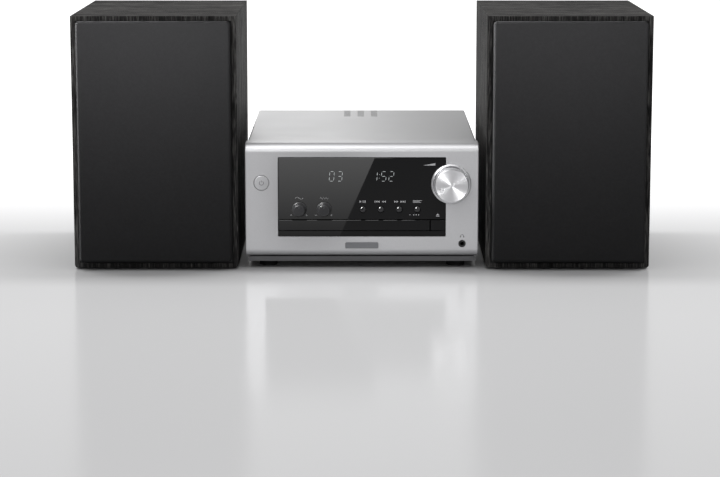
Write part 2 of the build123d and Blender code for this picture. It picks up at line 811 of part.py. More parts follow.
# ------------------------------------------------------------------ back panel and its sockets
rear_plate_y = (rear_panel_y, rear_panel_y + 1.5)
rear_through = (rear_panel_y - 1.0, rear_panel_y + 3.0)
inlet_x = -78.0
inlet_z = floor_top + 18.0
inlet_body_half_x = inlet_width / 2 + 3.0
inlet_body_half_z = inlet_height / 2 + 3.0
sockets_x = 0.0
sockets_z = floor_top + 18.0
socket_places = [sockets_x + (number - 1.5) * socket_pitch for number in range(4)]
socket_barrel = socket_bore_radius + 2.2
antenna_neck = antenna_radius - 0.55
antenna_x = 62.0
antenna_z = 88.0
rear_screw_x = chassis_half - 8.0
with BuildPart() as rear_panel:
    block((-chassis_half + 1.3, chassis_half - 1.3), rear_plate_y, (floor_top + 0.2, cover_top - sheet - 0.3))
    block(
        (inlet_x - inlet_body_half_x, inlet_x + inlet_body_half_x),
        rear_through,
        (inlet_z - inlet_body_half_z, inlet_z + inlet_body_half_z),
        mode=Mode.SUBTRACT,
    )
    for socket_x in socket_places:
        bar(socket_x, sockets_z, socket_barrel, rear_through, mode=Mode.SUBTRACT)
    bar(antenna_x, antenna_z, antenna_neck, rear_through, mode=Mode.SUBTRACT)
    for side in (-1, 1):
        for hole_z in (floor_top + 40.0, cover_top - 12.0):
            bar(side * rear_screw_x, hole_z, screw_radius + 0.1, rear_through, mode=Mode.SUBTRACT)
save(rear_panel, "rear_panel")

# Two-pole mains inlet: a rounded recess with two pins.
inlet_back = rear_plate_y[1] + 1.6
with BuildPart() as ac_inlet:
    plate(
        (inlet_x - inlet_body_half_x, inlet_x + inlet_body_half_x),
        (inlet_z - inlet_body_half_z, inlet_z + inlet_body_half_z),
        (inlet_back - inlet_depth - 3.0, inlet_back),
        0.5,
    )
    plate(
        (inlet_x - inlet_body_half_x - 2.0, inlet_x + inlet_body_half_x + 2.0),
        (inlet_z - inlet_body_half_z - 2.0, inlet_z + inlet_body_half_z + 2.0),
        (rear_plate_y[1], inlet_back),
        2.0,
    )
    plate(
        (inlet_x - inlet_width / 2, inlet_x + inlet_width / 2),
        (inlet_z - inlet_height / 2, inlet_z + inlet_height / 2),
        (inlet_back - inlet_depth, inlet_back + 1.0),
        inlet_height / 2 - 0.3,
        mode=Mode.SUBTRACT,
    )
    for side in (-1, 1):
        bar(inlet_x + side * 4.3, inlet_z, 1.2, (inlet_back - inlet_depth - 1.0, inlet_back - 6.5))
save(ac_inlet, "ac_inlet")

# Four plug sockets, two for each speaker.
with BuildPart() as speaker_sockets:
    socket_back = rear_plate_y[1] + 3.5
    socket_front = socket_back - socket_bore_length
    for socket_x in socket_places:
        bar(socket_x, sockets_z, socket_barrel, (socket_front - 3.0, socket_back))
        bar(socket_x, sockets_z, socket_barrel + 1.8, (rear_plate_y[1], rear_plate_y[1] + 1.5))
        bar(socket_x, sockets_z, socket_bore_radius, (socket_front, socket_back + 1.0), mode=Mode.SUBTRACT)
save(speaker_sockets, "speaker_sockets")

# Coaxial antenna plug: an open sleeve with a pin inside, on a neck that passes through the panel.
with BuildPart() as antenna_socket:
    sleeve = (rear_plate_y[1], rear_y + antenna_reach)
    bar(antenna_x, antenna_z, antenna_neck, (rear_panel_y - 6.0, sleeve[0]))
    bar(antenna_x, antenna_z, antenna_radius, sleeve)
    bar(antenna_x, antenna_z, antenna_radius - 1.0, (sleeve[0] + 1.0, sleeve[1] + 1.0), Mode.SUBTRACT)
    bar(antenna_x, antenna_z, 1.2, (sleeve[0], sleeve[1] - 2.0))
save(antenna_socket, "antenna_socket")

# Headphone socket behind its collar in the front panel.
with BuildPart() as headphone_jack:
    jack_y = (front_y + panel_wall, front_y + 0.5 + jack_length)
    block((jack_x - 6.0, jack_x + 6.0), jack_y, (jack_z - 4.6, jack_z + 6.0))
    bar(jack_x, jack_z, jack_collar_radius, (front_y + 0.5, jack_y[0]))
    bar(jack_x, jack_z, jack_bore_radius, (front_y, jack_y[1] + 1.0), mode=Mode.SUBTRACT)
save(headphone_jack, "headphone_jack")

# Screws: two in each side of the cover and four in the back panel.
with BuildPart() as case_screws:
    for side in (-1, 1):
        for screw_y in screw_ys:
            for radius, near, far in ((screw_head_radius, 0.0, 1.3), (screw_radius, -3.0, 0.0)):
                x_range = sorted((side * (cover_half + near), side * (cover_half + far)))
                with BuildSketch(Plane.YZ.offset(x_range[0])):
                    with Locations((screw_y, screw_z)):
                        Circle(radius)
                extrude(amount=x_range[1] - x_range[0])
        for hole_z in (floor_top + 40.0, cover_top - 12.0):
            bar(side * rear_screw_x, hole_z, screw_head_radius, (rear_plate_y[1], rear_plate_y[1] + 1.3))
            bar(side * rear_screw_x, hole_z, screw_radius, (rear_plate_y[0] - 3.0, rear_plate_y[1]))
save(case_screws, "case_screws")

# ------------------------------------------------------------------ speakers
cabinet_bottom = speaker_foot_height
half_speaker = speaker_width / 2
grille_half = half_speaker - grille_side
grille_z = (cabinet_bottom + grille_bottom, speaker_height - grille_top)
grille_front = cabinet_front - grille_proud
frame_front = grille_front + cloth
frame_half = grille_half - cloth
frame_z = (grille_z[0] + cloth, grille_z[1] - cloth)
tweeter_face = baffle_front - 1.6

for side_name, center_x in (("left", -speaker_center), ("right", speaker_center)):
    across = (center_x - half_speaker, center_x + half_speaker)
    peg_places = [
        (center_x + x_sign * (frame_half - peg_inset), z)
        for x_sign in (-1, 1)
        for z in (frame_z[0] + peg_inset, frame_z[1] - peg_inset)
    ]

    with BuildPart() as cabinet_feet:
        with BuildSketch(Plane.XY):
            with Locations((center_x, (cabinet_front + cabinet_back) / 2)):
                with GridLocations(speaker_width - 40.0, cabinet_depth - 40.0, 2, 2):
                    Circle(speaker_foot_radius)
        extrude(amount=speaker_foot_height)
    save(cabinet_feet, f"{side_name}_cabinet_feet")

    # Wrapped board cabinet, open in front, with a rebate for the baffle and a port at the back.
    with BuildPart() as cabinet:
        block(across, (cabinet_front, cabinet_back), (cabinet_bottom, speaker_height))
        fillet(cabinet.edges().filter_by(Axis.Y).group_by(Axis.Z)[0], radius=cabinet_edge_radius)
        block(
            (across[0] + cabinet_wall, across[1] - cabinet_wall),
            (cabinet_front - 1.0, cabinet_back - cabinet_wall),
            (cabinet_bottom + cabinet_wall, speaker_height - cabinet_wall),
            mode=Mode.SUBTRACT,
        )
        block(
            (across[0] + rim_wall, across[1] - rim_wall),
            (cabinet_front - 1.0, baffle_back),
            (cabinet_bottom + rim_wall, speaker_height - rim_wall),
            mode=Mode.SUBTRACT,
        )
        back_through = (cabinet_back - cabinet_wall - 1.0, cabinet_back + 1.0)
        bar(center_x, port_height, port_radius + port_wall, back_through, mode=Mode.SUBTRACT)
        bar(center_x, gland_height, 4.0, back_through, mode=Mode.SUBTRACT)
    save(cabinet, f"{side_name}_cabinet")

    # Baffle board with the driver holes and four sockets for the grille's pegs.
    with BuildPart() as baffle:
        block(
            (across[0] + rim_wall, across[1] - rim_wall),
            (baffle_front, baffle_back),
            (cabinet_bottom + rim_wall, speaker_height - rim_wall),
        )
        baffle_through = (baffle_front - 1.0, baffle_back + 1.0)
        bar(center_x, woofer_height, woofer_radius - 4.0, baffle_through, mode=Mode.SUBTRACT)
        bar(center_x, tweeter_height, tweeter_radius - 6.0, baffle_through, mode=Mode.SUBTRACT)
        for peg_x, peg_z in peg_places:
            bar(
                peg_x,
                peg_z,
                peg_radius + bearing_clearance,
                (baffle_front - 1.0, baffle_front + peg_length + 1.0),
                mode=Mode.SUBTRACT,
            )
    save(baffle, f"{side_name}_baffle")

    # Moulded grille frame: a rim with a shallow lattice inside it and four pegs behind.
    with BuildPart() as grille_frame:
        plate(
            (center_x - frame_half, center_x + frame_half),
            frame_z,
            (frame_front, baffle_front - 0.2),
            grille_corner - cloth,
        )
        lattice_width = 2 * (frame_half - grille_bar)
        lattice_height = frame_z[1] - frame_z[0] - 2 * grille_bar
        cell_width = (lattice_width - (lattice_columns - 1) * lattice_rib) / lattice_columns
        cell_height = (lattice_height - (lattice_rows - 1) * lattice_rib) / lattice_rows
        with BuildSketch(facing(frame_front)):
            with Locations((center_x, (frame_z[0] + frame_z[1]) / 2)):
                with GridLocations(
                    cell_width + lattice_rib,
                    cell_height + lattice_rib,
                    lattice_columns,
                    lattice_rows,
                ):
                    RectangleRounded(cell_width, cell_height, 3.0)
        extrude(amount=-(baffle_front - frame_front), mode=Mode.SUBTRACT)
        block(
            (center_x - frame_half + grille_bar, center_x + frame_half - grille_bar),
            (frame_front + lattice_depth, baffle_front),
            (frame_z[0] + grille_bar, frame_z[1] - grille_bar),
            mode=Mode.SUBTRACT,
        )
        for peg_x, peg_z in peg_places:
            bar(peg_x, peg_z, peg_radius, (baffle_front - 1.0, baffle_front + peg_length))
    save(grille_frame, f"{side_name}_grille_frame")

    # Cloth stretched over the frame's front and wrapped round its sides.
    with BuildPart() as grille_cloth:
        plate(
            (center_x - grille_half, center_x + grille_half),
            grille_z,
            (grille_front, baffle_front - 0.2),
            grille_corner,
        )
        fillet(grille_cloth.faces().sort_by(Axis.Y)[0].edges(), radius=grille_edge)
        plate(
            (center_x - frame_half, center_x + frame_half),
            frame_z,
            (frame_front, baffle_front + 1.0),
            grille_corner - cloth,
            mode=Mode.SUBTRACT,
        )
    save(grille_cloth, f"{side_name}_grille_cloth")

    # Woofer: pressed frame, ring magnet, paper cone with its dust cap, and the rolled surround.
    flange_face = baffle_front - 2.0
    cone_rim = woofer_radius - 11.0
    coil_radius = 13.0
    cone_depth = 20.0
    cap_height = 4.6
    with BuildPart() as woofer_frame:
        turned(
            center_x,
            woofer_height,
            [
                (woofer_radius - 4.5, flange_face),
                (woofer_radius + 2.0, flange_face),
                (woofer_radius + 3.0, flange_face + 1.0),
                (woofer_radius + 3.0, baffle_front),
                (woofer_radius - 4.5, baffle_front),
            ],
        )
        turned(
            center_x,
            woofer_height,
            [
                (woofer_radius - 5.5, baffle_front - 0.5),
                (woofer_radius - 4.3, baffle_front - 0.5),
                (woofer_radius - 4.3, baffle_front + 8.0),
                (34.0, baffle_front + 34.0),
                (34.0, baffle_front + 38.0),
                (20.0, baffle_front + 38.0),
                (20.0, baffle_front + 36.0),
                (32.0, baffle_front + 36.0),
                (32.0, baffle_front + 34.0),
                (woofer_radius - 5.5, baffle_front + 8.0),
            ],
        )
        with BuildSketch(facing(baffle_front + 10.0)):
            with Locations((center_x, woofer_height)):
                with PolarLocations(0.5 * woofer_radius + 14.0, 6):
                    RectangleRounded(20.0, 22.0, 4.0)
        extrude(amount=-22.0, mode=Mode.SUBTRACT)
    save(woofer_frame, f"{side_name}_woofer_frame")

    with BuildPart() as woofer_magnet:
        magnet_y = (baffle_front + 38.0, baffle_front + 58.0)
        bar(center_x, woofer_height, 35.0, magnet_y)
        bar(center_x, woofer_height, coil_radius + 0.8, (magnet_y[0] - 1.0, magnet_y[0] + 12.0), Mode.SUBTRACT)
        bar(center_x, woofer_height, coil_radius - 1.4, (magnet_y[0], magnet_y[0] + 13.0))
    save(woofer_magnet, f"{side_name}_woofer_magnet")

    with BuildPart() as woofer_cone:
        cone_front = baffle_front + 1.5
        coil_face = cone_front + cone_depth
        cap_radius = coil_radius + 1.0
        cap_y = coil_face - 2.1
        cap_steps = [(math.sin(math.radians(angle)), math.cos(math.radians(angle))) for angle in (0, 24, 48)]
        cap_outside = [(cap_radius * out, cap_y - cap_height * ahead) for out, ahead in cap_steps]
        cap_inside = [(0.93 * radius, y + 0.8) for radius, y in reversed(cap_outside)]
        turned(
            center_x,
            woofer_height,
            [
                *cap_outside,
                (cap_radius, cap_y),
                (cone_rim, cone_front),
                (cone_rim, cone_front + 0.8),
                (coil_radius, coil_face + 0.9),
                (coil_radius, magnet_y[0] + 6.0),
                (coil_radius - 0.6, magnet_y[0] + 6.0),
                (coil_radius - 0.6, cap_y + 1.0),
                *cap_inside,
            ],
        )
    save(woofer_cone, f"{side_name}_woofer_cone")

    with BuildPart() as woofer_surround:
        roll_radius = (woofer_radius - 5.5 - cone_rim - 0.3) / 2
        roll_middle = center_x + cone_rim + 0.3 + roll_radius
        with BuildSketch(Plane.XY.offset(woofer_height)):
            with BuildLine():
                outer_from = (roll_middle - roll_radius, cone_front)
                outer_to = (roll_middle + roll_radius, cone_front)
                ThreePointArc(outer_from, (roll_middle, cone_front - roll_radius), outer_to)
                Line(outer_to, (roll_middle + roll_radius - 0.5, cone_front))
                ThreePointArc(
                    (roll_middle + roll_radius - 0.5, cone_front),
                    (roll_middle, cone_front - roll_radius + 0.5),
                    (roll_middle - roll_radius + 0.5, cone_front),
                )
                Line((roll_middle - roll_radius + 0.5, cone_front), outer_from)
            make_face()
        revolve(axis=Axis((center_x, 0, woofer_height), (0, 1, 0)))
    save(woofer_surround, f"{side_name}_woofer_surround")

    # Dome tweeter on a round plate.
    with BuildPart() as tweeter:
        turned(
            center_x,
            tweeter_height,
            [
                (0.0, baffle_front + 3.0),
                (9.5, baffle_front + 1.0),
                (12.0, baffle_front + 1.0),
                (16.0, tweeter_face),
                (tweeter_radius - 0.8, tweeter_face),
                (tweeter_radius, tweeter_face + 0.8),
                (tweeter_radius, baffle_front),
                (tweeter_radius - 6.2, baffle_front),
                (tweeter_radius - 6.2, baffle_back + 12.0),
                (0.0, baffle_back + 12.0),
            ],
        )
        with Locations((center_x, baffle_front + 3.5, tweeter_height)):
            Sphere(9.6, rotation=(90, 0, 0), arc_size1=22)
    save(tweeter, f"{side_name}_tweeter")

    # Flared port tube through the back.
    with BuildPart() as port_tube:
        port_mouth = cabinet_back + 1.5
        turned(
            center_x,
            port_height,
            [
                (port_radius, cabinet_back - port_length),
                (port_radius + port_wall, cabinet_back - port_length),
                (port_radius + port_wall, cabinet_back),
                (port_radius + port_flare + 3.0, cabinet_back),
                (port_radius + port_flare + 3.0, cabinet_back + 0.7),
                (port_radius + port_flare, port_mouth),
                (port_radius + 2.0, port_mouth - 1.0),
                (port_radius, cabinet_back - port_flare),
            ],
        )
    save(port_tube, f"{side_name}_port_tube")

    # Bushing that the speaker lead comes out of.
    with BuildPart() as lead_gland:
        turned(
            center_x,
            gland_height,
            [
                (2.2, cabinet_back - cabinet_wall - 2.0),
                (3.9, cabinet_back - cabinet_wall - 2.0),
                (3.9, cabinet_back),
                (6.0, cabinet_back),
                (6.0, cabinet_back + 1.2),
                (4.0, cabinet_back + 3.5),
                (2.2, cabinet_back + 3.5),
            ],
        )
    save(lead_gland, f"{side_name}_lead_gland")
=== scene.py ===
"""Looks of a mini hifi system: a silver main unit with a smoked window, between two wood-grain speakers.

Metres, in the CAD frame: +X to the right as seen from the front, +Y to the back, +Z up.
"""

import json
import math

import bmesh
import bpy
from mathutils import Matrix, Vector


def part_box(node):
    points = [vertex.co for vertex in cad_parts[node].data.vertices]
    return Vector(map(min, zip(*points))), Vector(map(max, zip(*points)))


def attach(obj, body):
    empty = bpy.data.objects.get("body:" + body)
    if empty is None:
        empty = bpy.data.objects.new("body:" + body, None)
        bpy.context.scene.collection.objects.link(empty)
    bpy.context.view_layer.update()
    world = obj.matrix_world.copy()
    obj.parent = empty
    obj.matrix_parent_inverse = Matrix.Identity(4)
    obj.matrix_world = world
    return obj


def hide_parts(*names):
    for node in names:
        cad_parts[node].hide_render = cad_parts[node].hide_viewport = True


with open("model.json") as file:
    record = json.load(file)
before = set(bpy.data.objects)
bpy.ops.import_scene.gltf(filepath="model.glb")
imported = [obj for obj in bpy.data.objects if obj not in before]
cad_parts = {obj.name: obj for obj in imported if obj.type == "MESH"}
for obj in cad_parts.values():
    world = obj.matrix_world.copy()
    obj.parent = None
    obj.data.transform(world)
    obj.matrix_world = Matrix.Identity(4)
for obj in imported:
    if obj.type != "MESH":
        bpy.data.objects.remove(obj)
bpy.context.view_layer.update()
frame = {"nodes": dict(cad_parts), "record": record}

cad_nodes = frame["nodes"]
slots = {part["node"]: part["material_slot"] for part in frame["record"]["subparts"]}
front_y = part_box("display_window")[0].y
MM = 0.001
SIDES = ("left", "right")
SMALL_BUTTONS = ("play_button", "skip_back_button", "skip_forward_button", "selector_button")
SCREW_HEAD_RADIUS = 2.8 * MM
STEM_RADIUS = 3.0 * MM


# ------------------------------------------------------------------ small tools
def linear(hex_code):
    """Linear RGBA of an sRGB hex colour."""
    shares = [int(hex_code[i : i + 2], 16) / 255 for i in (1, 3, 5)]
    return (*[s / 12.92 if s <= 0.04045 else ((s + 0.055) / 1.055) ** 2.4 for s in shares], 1.0)


def add(tree, kind, inputs=(), **settings):
    """One node with its settings; an input is a value, or the output socket that it is linked to."""
    made = tree.nodes.new(kind)
    for name, value in settings.items():
        setattr(made, name, value)
    for key, value in dict(inputs).items():
        if isinstance(value, bpy.types.NodeSocket):
            tree.links.new(value, made.inputs[key])
        else:
            made.inputs[key].default_value = value
    return made


def start_finish(name, colour, roughness, metallic=0.0, **more):
    """A material with its shader's own sockets set. Gives the tree, the shader and the Object coordinates."""
    made = bpy.data.materials.new(name)
    made.use_nodes = True
    shader = made.node_tree.nodes["Principled BSDF"]
    shader.inputs["Base Color"].default_value = linear(colour)
    shader.inputs["Roughness"].default_value = roughness
    shader.inputs["Metallic"].default_value = metallic
    for key, value in more.items():
        shader.inputs[key.replace("_", " ")].default_value = value
    place = add(made.node_tree, "ShaderNodeTexCoord").outputs["Object"]
    return made, made.node_tree, shader, place


def mesh_of(name, shape):
    """Mesh with the faces of a bmesh, which is used up."""
    mesh = bpy.data.meshes.new(name)
    shape.to_mesh(mesh)
    shape.free()
    return mesh


def in_scene(name, data):
    """Object at the origin, put into the scene."""
    thing = bpy.data.objects.new(name, data)
    bpy.context.scene.collection.objects.link(thing)
    return thing


def shade_smooth(shape, keep_edges):
    """Smooth shading, except across edges that turn by more than keep_edges degrees."""
    for face in shape.faces:
        face.smooth = True
    for edge in shape.edges:
        edge.smooth = edge.is_manifold and edge.calc_face_angle(0.0) < math.radians(keep_edges)


def solid_of(name, shape, finish, body, replaced=()):
    """Object from a bmesh, shaded smooth except at its edges, riding on its body."""
    bmesh.ops.remove_doubles(shape, verts=shape.verts, dist=1e-7)
    bmesh.ops.recalc_face_normals(shape, faces=shape.faces)
    shade_smooth(shape, keep_edges=32)
    mesh = mesh_of(name, shape)
    mesh.materials.append(finish)
    piece = in_scene(name, mesh)
    if replaced:
        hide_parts(*replaced)
    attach(piece, body)


def baked(piece):
    """The piece with its modifiers worked into a plain mesh."""
    bpy.context.view_layer.update()
    graph = bpy.context.evaluated_depsgraph_get()
    mesh = bpy.data.meshes.new_from_object(piece.evaluated_get(graph), depsgraph=graph)
    piece.modifiers.clear()
    piece.data = mesh
    return piece


def smooth_copy(node, finish, body, edge_mm=0.0):
    """A merged copy of a CAD node, its rounded faces shaded smooth and its sharp edges broken by edge_mm."""
    shape = bmesh.new()
    shape.from_mesh(cad_nodes[node].data)
    bmesh.ops.remove_doubles(shape, verts=shape.verts, dist=2e-6)
    bmesh.ops.dissolve_limit(shape, angle_limit=math.radians(0.4), verts=shape.verts, edges=shape.edges)
    for face in shape.faces:
        face.material_index = 0
    shade_smooth(shape, keep_edges=35)
    mesh = mesh_of(node + "_dressed", shape)
    mesh.materials.append(finish)
    piece = in_scene(node + "_dressed", mesh)
    if edge_mm:
        broken = piece.modifiers.new("broken_edges", "BEVEL")
        broken.width = edge_mm * MM
        broken.segments = 2
        broken.limit_method = "ANGLE"
        broken.angle_limit = math.radians(50)
        broken.use_clamp_overlap = True
    even = piece.modifiers.new("even_shading", "WEIGHTED_NORMAL")
    even.keep_sharp = True
    even.weight = 100
    baked(piece)
    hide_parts(node)
    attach(piece, body)


def softened(outline, radius, steps=4):
    """An open outline of (radius, y) corners with its inner corners rounded."""
    points = [Vector(p) for p in outline]
    out = [points[0]]
    for before, corner, after in zip(points, points[1:], points[2:]):
        reach = min(radius, 0.45 * (before - corner).length, 0.45 * (after - corner).length)
        start = corner + (before - corner).normalized() * reach
        end = corner + (after - corner).normalized() * reach
        for i in range(steps + 1):
            t = i / steps
            out.append((1 - t) ** 2 * start + 2 * t * (1 - t) * corner + t * t * end)
    return [tuple(p) for p in out + [points[-1]]]


def turned(shape, x, z, outline, closed=False, steps=96):
    """Turns (radius, y) points about the Y axis at (x, z), into a bmesh."""
    rings = []
    for radius, y in outline:
        if radius < 1e-7:
            rings.append([shape.verts.new((x, y, z))])
            continue
        angles = [2 * math.pi * i / steps for i in range(steps)]
        rings.append(
            [shape.verts.new((x + radius * math.cos(a), y, z + radius * math.sin(a))) for a in angles]
        )
    pairs = list(zip(rings, rings[1:])) + ([(rings[-1], rings[0])] if closed else [])
    for one, other in pairs:
        for i in range(steps):
            corners = [one[i % len(one)], one[(i + 1) % len(one)]]
            corners += [other[(i + 1) % len(other)], other[i % len(other)]]
            corners = list(dict.fromkeys(corners))
            if len(corners) > 2:
                shape.faces.new(corners)
    return shape


def middle_of(node):
    """The (x, z) middle of a CAD node, as seen from the front."""
    low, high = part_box(node)
    return (low.x + high.x) / 2, (low.z + high.z) / 2


def box_sign(x0, x1, z0, z1):
    """The four corners of an upright rectangle."""
    return [(x0, z0), (x1, z0), (x1, z1), (x0, z1)]


def prism(shape, corners, y, depth=0.03):
    """A thin raised area on an upright face at y; corners are (x, z) in millimetres."""
    front = [shape.verts.new((x * MM, y - depth * MM, z * MM)) for x, z in corners]
    back = [shape.verts.new((x * MM, y, z * MM)) for x, z in corners]
    shape.faces.new(front)
    shape.faces.new(back[::-1])
    for i in range(len(corners)):
        j = (i + 1) % len(corners)
        shape.faces.new((front[i], back[i], back[j], front[j]))


# ------------------------------------------------------------------ materials: main unit
def satin_silver(name, colour, dark, roughness):
    """Silver paint sprayed on ABS or steel, or nickel plating on brass: a soft sheen from fine flakes or
    crystals, with a faint orange peel. They are 0.1 mm in life, drawn 0.6 mm so that they show."""
    made, tree, shader, place = start_finish(name, colour, roughness, metallic=0.75)
    flakes = add(tree, "ShaderNodeTexNoise", {"Vector": place, "Scale": 1 / (0.6 * MM), "Detail": 2.0})
    tone = add(
        tree,
        "ShaderNodeMix",
        {"Factor": flakes.outputs["Fac"], "A": linear(dark), "B": linear(colour)},
        data_type="RGBA",
    )
    tree.links.new(tone.outputs["Result"], shader.inputs["Base Color"])
    cloud = add(tree, "ShaderNodeTexNoise", {"Vector": place, "Scale": 1 / (35 * MM), "Detail": 3.0})
    matte = add(
        tree,
        "ShaderNodeMapRange",
        {"Value": cloud.outputs["Fac"], "To Min": roughness - 0.03, "To Max": roughness + 0.03},
    )
    tree.links.new(matte.outputs["Result"], shader.inputs["Roughness"])
    peel = add(tree, "ShaderNodeTexNoise", {"Vector": place, "Scale": 1 / (1.4 * MM), "Detail": 1.0})
    skin = add(
        tree,
        "ShaderNodeBump",
        {"Height": peel.outputs["Fac"], "Distance": 0.004 * MM, "Strength": 0.6},
    )
    tree.links.new(skin.outputs["Normal"], shader.inputs["Normal"])
    return made


def moulded(name, colour, light, roughness, grain_mm, depth_mm, ior=1.5):
    """Injection-moulded plastic, rubber or coated steel: a fine grain, and a slow change of tone and gloss.
    The grain is about 0.1 mm in life, drawn as grain_mm so that it shows."""
    made, tree, shader, place = start_finish(name, colour, roughness, IOR=ior)
    cloud = add(tree, "ShaderNodeTexNoise", {"Vector": place, "Scale": 1 / (14 * MM), "Detail": 5.0})
    tone = add(
        tree,
        "ShaderNodeMix",
        {"Factor": cloud.outputs["Fac"], "A": linear(colour), "B": linear(light)},
        data_type="RGBA",
    )
    tree.links.new(tone.outputs["Result"], shader.inputs["Base Color"])
    matte = add(
        tree,
        "ShaderNodeMapRange",
        {"Value": cloud.outputs["Fac"], "To Min": roughness * 0.85, "To Max": roughness * 1.15},
    )
    tree.links.new(matte.outputs["Result"], shader.inputs["Roughness"])
    grain = add(tree, "ShaderNodeTexNoise", {"Vector": place, "Scale": 1 / (grain_mm * MM), "Detail": 3.0})
    skin = add(
        tree,
        "ShaderNodeBump",
        {"Height": grain.outputs["Fac"], "Distance": depth_mm * MM, "Strength": 0.8},
    )
    tree.links.new(skin.outputs["Normal"], shader.inputs["Normal"])
    return made


def polished_acrylic():
    """Extruded acrylic, smoked almost black and polished: sharp reflections with a faint long waviness.
    Its hard coat halves the reflection."""
    made, tree, shader, place = start_finish(
        "smoked_acrylic", "#080809", 0.03, IOR=1.49, Specular_IOR_Level=0.22
    )
    wave = add(tree, "ShaderNodeTexNoise", {"Vector": place, "Scale": 1 / (40 * MM), "Detail": 1.0})
    skin = add(
        tree,
        "ShaderNodeBump",
        {"Height": wave.outputs["Fac"], "Distance": 0.01 * MM, "Strength": 0.3},
    )
    tree.links.new(skin.outputs["Normal"], shader.inputs["Normal"])
    dust = add(tree, "ShaderNodeTexNoise", {"Vector": place, "Scale": 1 / (18 * MM), "Detail": 6.0})
    haze = add(
        tree,
        "ShaderNodeMapRange",
        {"Value": dust.outputs["Fac"], "From Min": 0.4, "From Max": 0.8, "To Min": 0.02, "To Max": 0.07},
    )
    tree.links.new(haze.outputs["Result"], shader.inputs["Roughness"])
    return made


def spun_aluminium(centre):
    """Aluminium turned on a lathe: grooves run round the axis, so highlights fan out as bright wedges.
    The grooves are 0.05 mm apart in life, drawn 0.5 mm apart."""
    made, tree, shader, place = start_finish("spun_aluminium", "#dcdcde", 0.35, metallic=1.0, Anisotropic=0.9)
    from_axis = add(
        tree, "ShaderNodeVectorMath", {0: place, 1: (centre[0], 0.0, centre[1])}, operation="SUBTRACT"
    )
    flat = add(
        tree,
        "ShaderNodeVectorMath",
        {0: from_axis.outputs[0], 1: (1.0, 0.0, 1.0)},
        operation="MULTIPLY",
    )
    outward = add(tree, "ShaderNodeVectorMath", {0: flat.outputs[0]}, operation="NORMALIZE")
    in_world = add(
        tree,
        "ShaderNodeVectorTransform",
        {"Vector": outward.outputs[0]},
        vector_type="VECTOR",
        convert_from="OBJECT",
        convert_to="WORLD",
    )
    tree.links.new(in_world.outputs["Vector"], shader.inputs["Tangent"])
    radius = add(tree, "ShaderNodeVectorMath", {0: flat.outputs[0]}, operation="LENGTH")
    groove = add(
        tree,
        "ShaderNodeMath",
        {0: radius.outputs["Value"], 1: 2 * math.pi / (0.5 * MM)},
        operation="MULTIPLY",
    )
    ripple = add(tree, "ShaderNodeMath", {0: groove.outputs[0]}, operation="SINE")
    skin = add(
        tree,
        "ShaderNodeBump",
        {"Height": ripple.outputs[0], "Distance": 0.002 * MM, "Strength": 0.5},
    )
    tree.links.new(skin.outputs["Normal"], shader.inputs["Normal"])
    return made


def zinc_plate():
    """Steel sheet with zinc plating: crystals a few millimetres across, each with its own grey and gloss."""
    made, tree, shader, place = start_finish("zinc_steel", "#b4b8bc", 0.38, metallic=1.0)
    crystals = add(tree, "ShaderNodeTexVoronoi", {"Vector": place, "Scale": 1 / (3.5 * MM)})
    tone = add(
        tree,
        "ShaderNodeMix",
        {"Factor": crystals.outputs["Distance"], "A": linear("#c2c6ca"), "B": linear("#9b9fa4")},
        data_type="RGBA",
    )
    tree.links.new(tone.outputs["Result"], shader.inputs["Base Color"])
    matte = add(
        tree,
        "ShaderNodeMapRange",
        {"Value": crystals.outputs["Distance"], "To Min": 0.3, "To Max": 0.5},
    )
    tree.links.new(matte.outputs["Result"], shader.inputs["Roughness"])
    return made


def brushed_plate():
    """Blank aluminium plate, brushed lengthwise: streaks 12 mm long in its gloss, which are under 0.1 mm
    wide in life, drawn 0.4 mm."""
    made, tree, shader, place = start_finish("badge_metal", "#8c8d90", 0.32, metallic=1.0)
    along = add(
        tree, "ShaderNodeMapping", {"Vector": place, "Scale": (1 / (12 * MM), 1 / MM, 1 / (0.4 * MM))}
    )
    streaks = add(tree, "ShaderNodeTexNoise", {"Vector": along.outputs[0], "Scale": 1.0, "Detail": 3.0})
    matte = add(
        tree,
        "ShaderNodeMapRange",
        {"Value": streaks.outputs["Fac"], "To Min": 0.2, "To Max": 0.5},
    )
    tree.links.new(matte.outputs["Result"], shader.inputs["Roughness"])
    return made


def circuit_laminate():
    """Glass-epoxy laminate under green solder resist: a faint weave under a glossy skin.
    The weave is 0.5 mm in life, drawn 1 mm."""
    made, tree, shader, place = start_finish("circuit_board", "#123a24", 0.3)
    weave = add(tree, "ShaderNodeTexChecker", {"Vector": place, "Scale": 1 / MM})
    tone = add(
        tree,
        "ShaderNodeMix",
        {"Factor": weave.outputs["Fac"], "A": linear("#113822"), "B": linear("#174a2c")},
        data_type="RGBA",
    )
    tree.links.new(tone.outputs["Result"], shader.inputs["Base Color"])
    return made


def lit_segments():
    """Vacuum-fluorescent phosphor behind the smoked pane: an even cool white glow with a fine powder grain,
    0.01 mm in life, drawn 0.3 mm."""
    made, tree, shader, place = start_finish("display_phosphor", "#c8cccd", 0.5, Emission_Strength=0.2)
    shader.inputs["Emission Color"].default_value = linear("#e9eef0")
    powder = add(tree, "ShaderNodeTexNoise", {"Vector": place, "Scale": 1 / (0.3 * MM)})
    tone = add(
        tree,
        "ShaderNodeMix",
        {"Factor": powder.outputs["Fac"], "A": linear("#9a9e9f"), "B": linear("#c3c7c8")},
        data_type="RGBA",
    )
    tree.links.new(tone.outputs["Result"], shader.inputs["Base Color"])
    return made


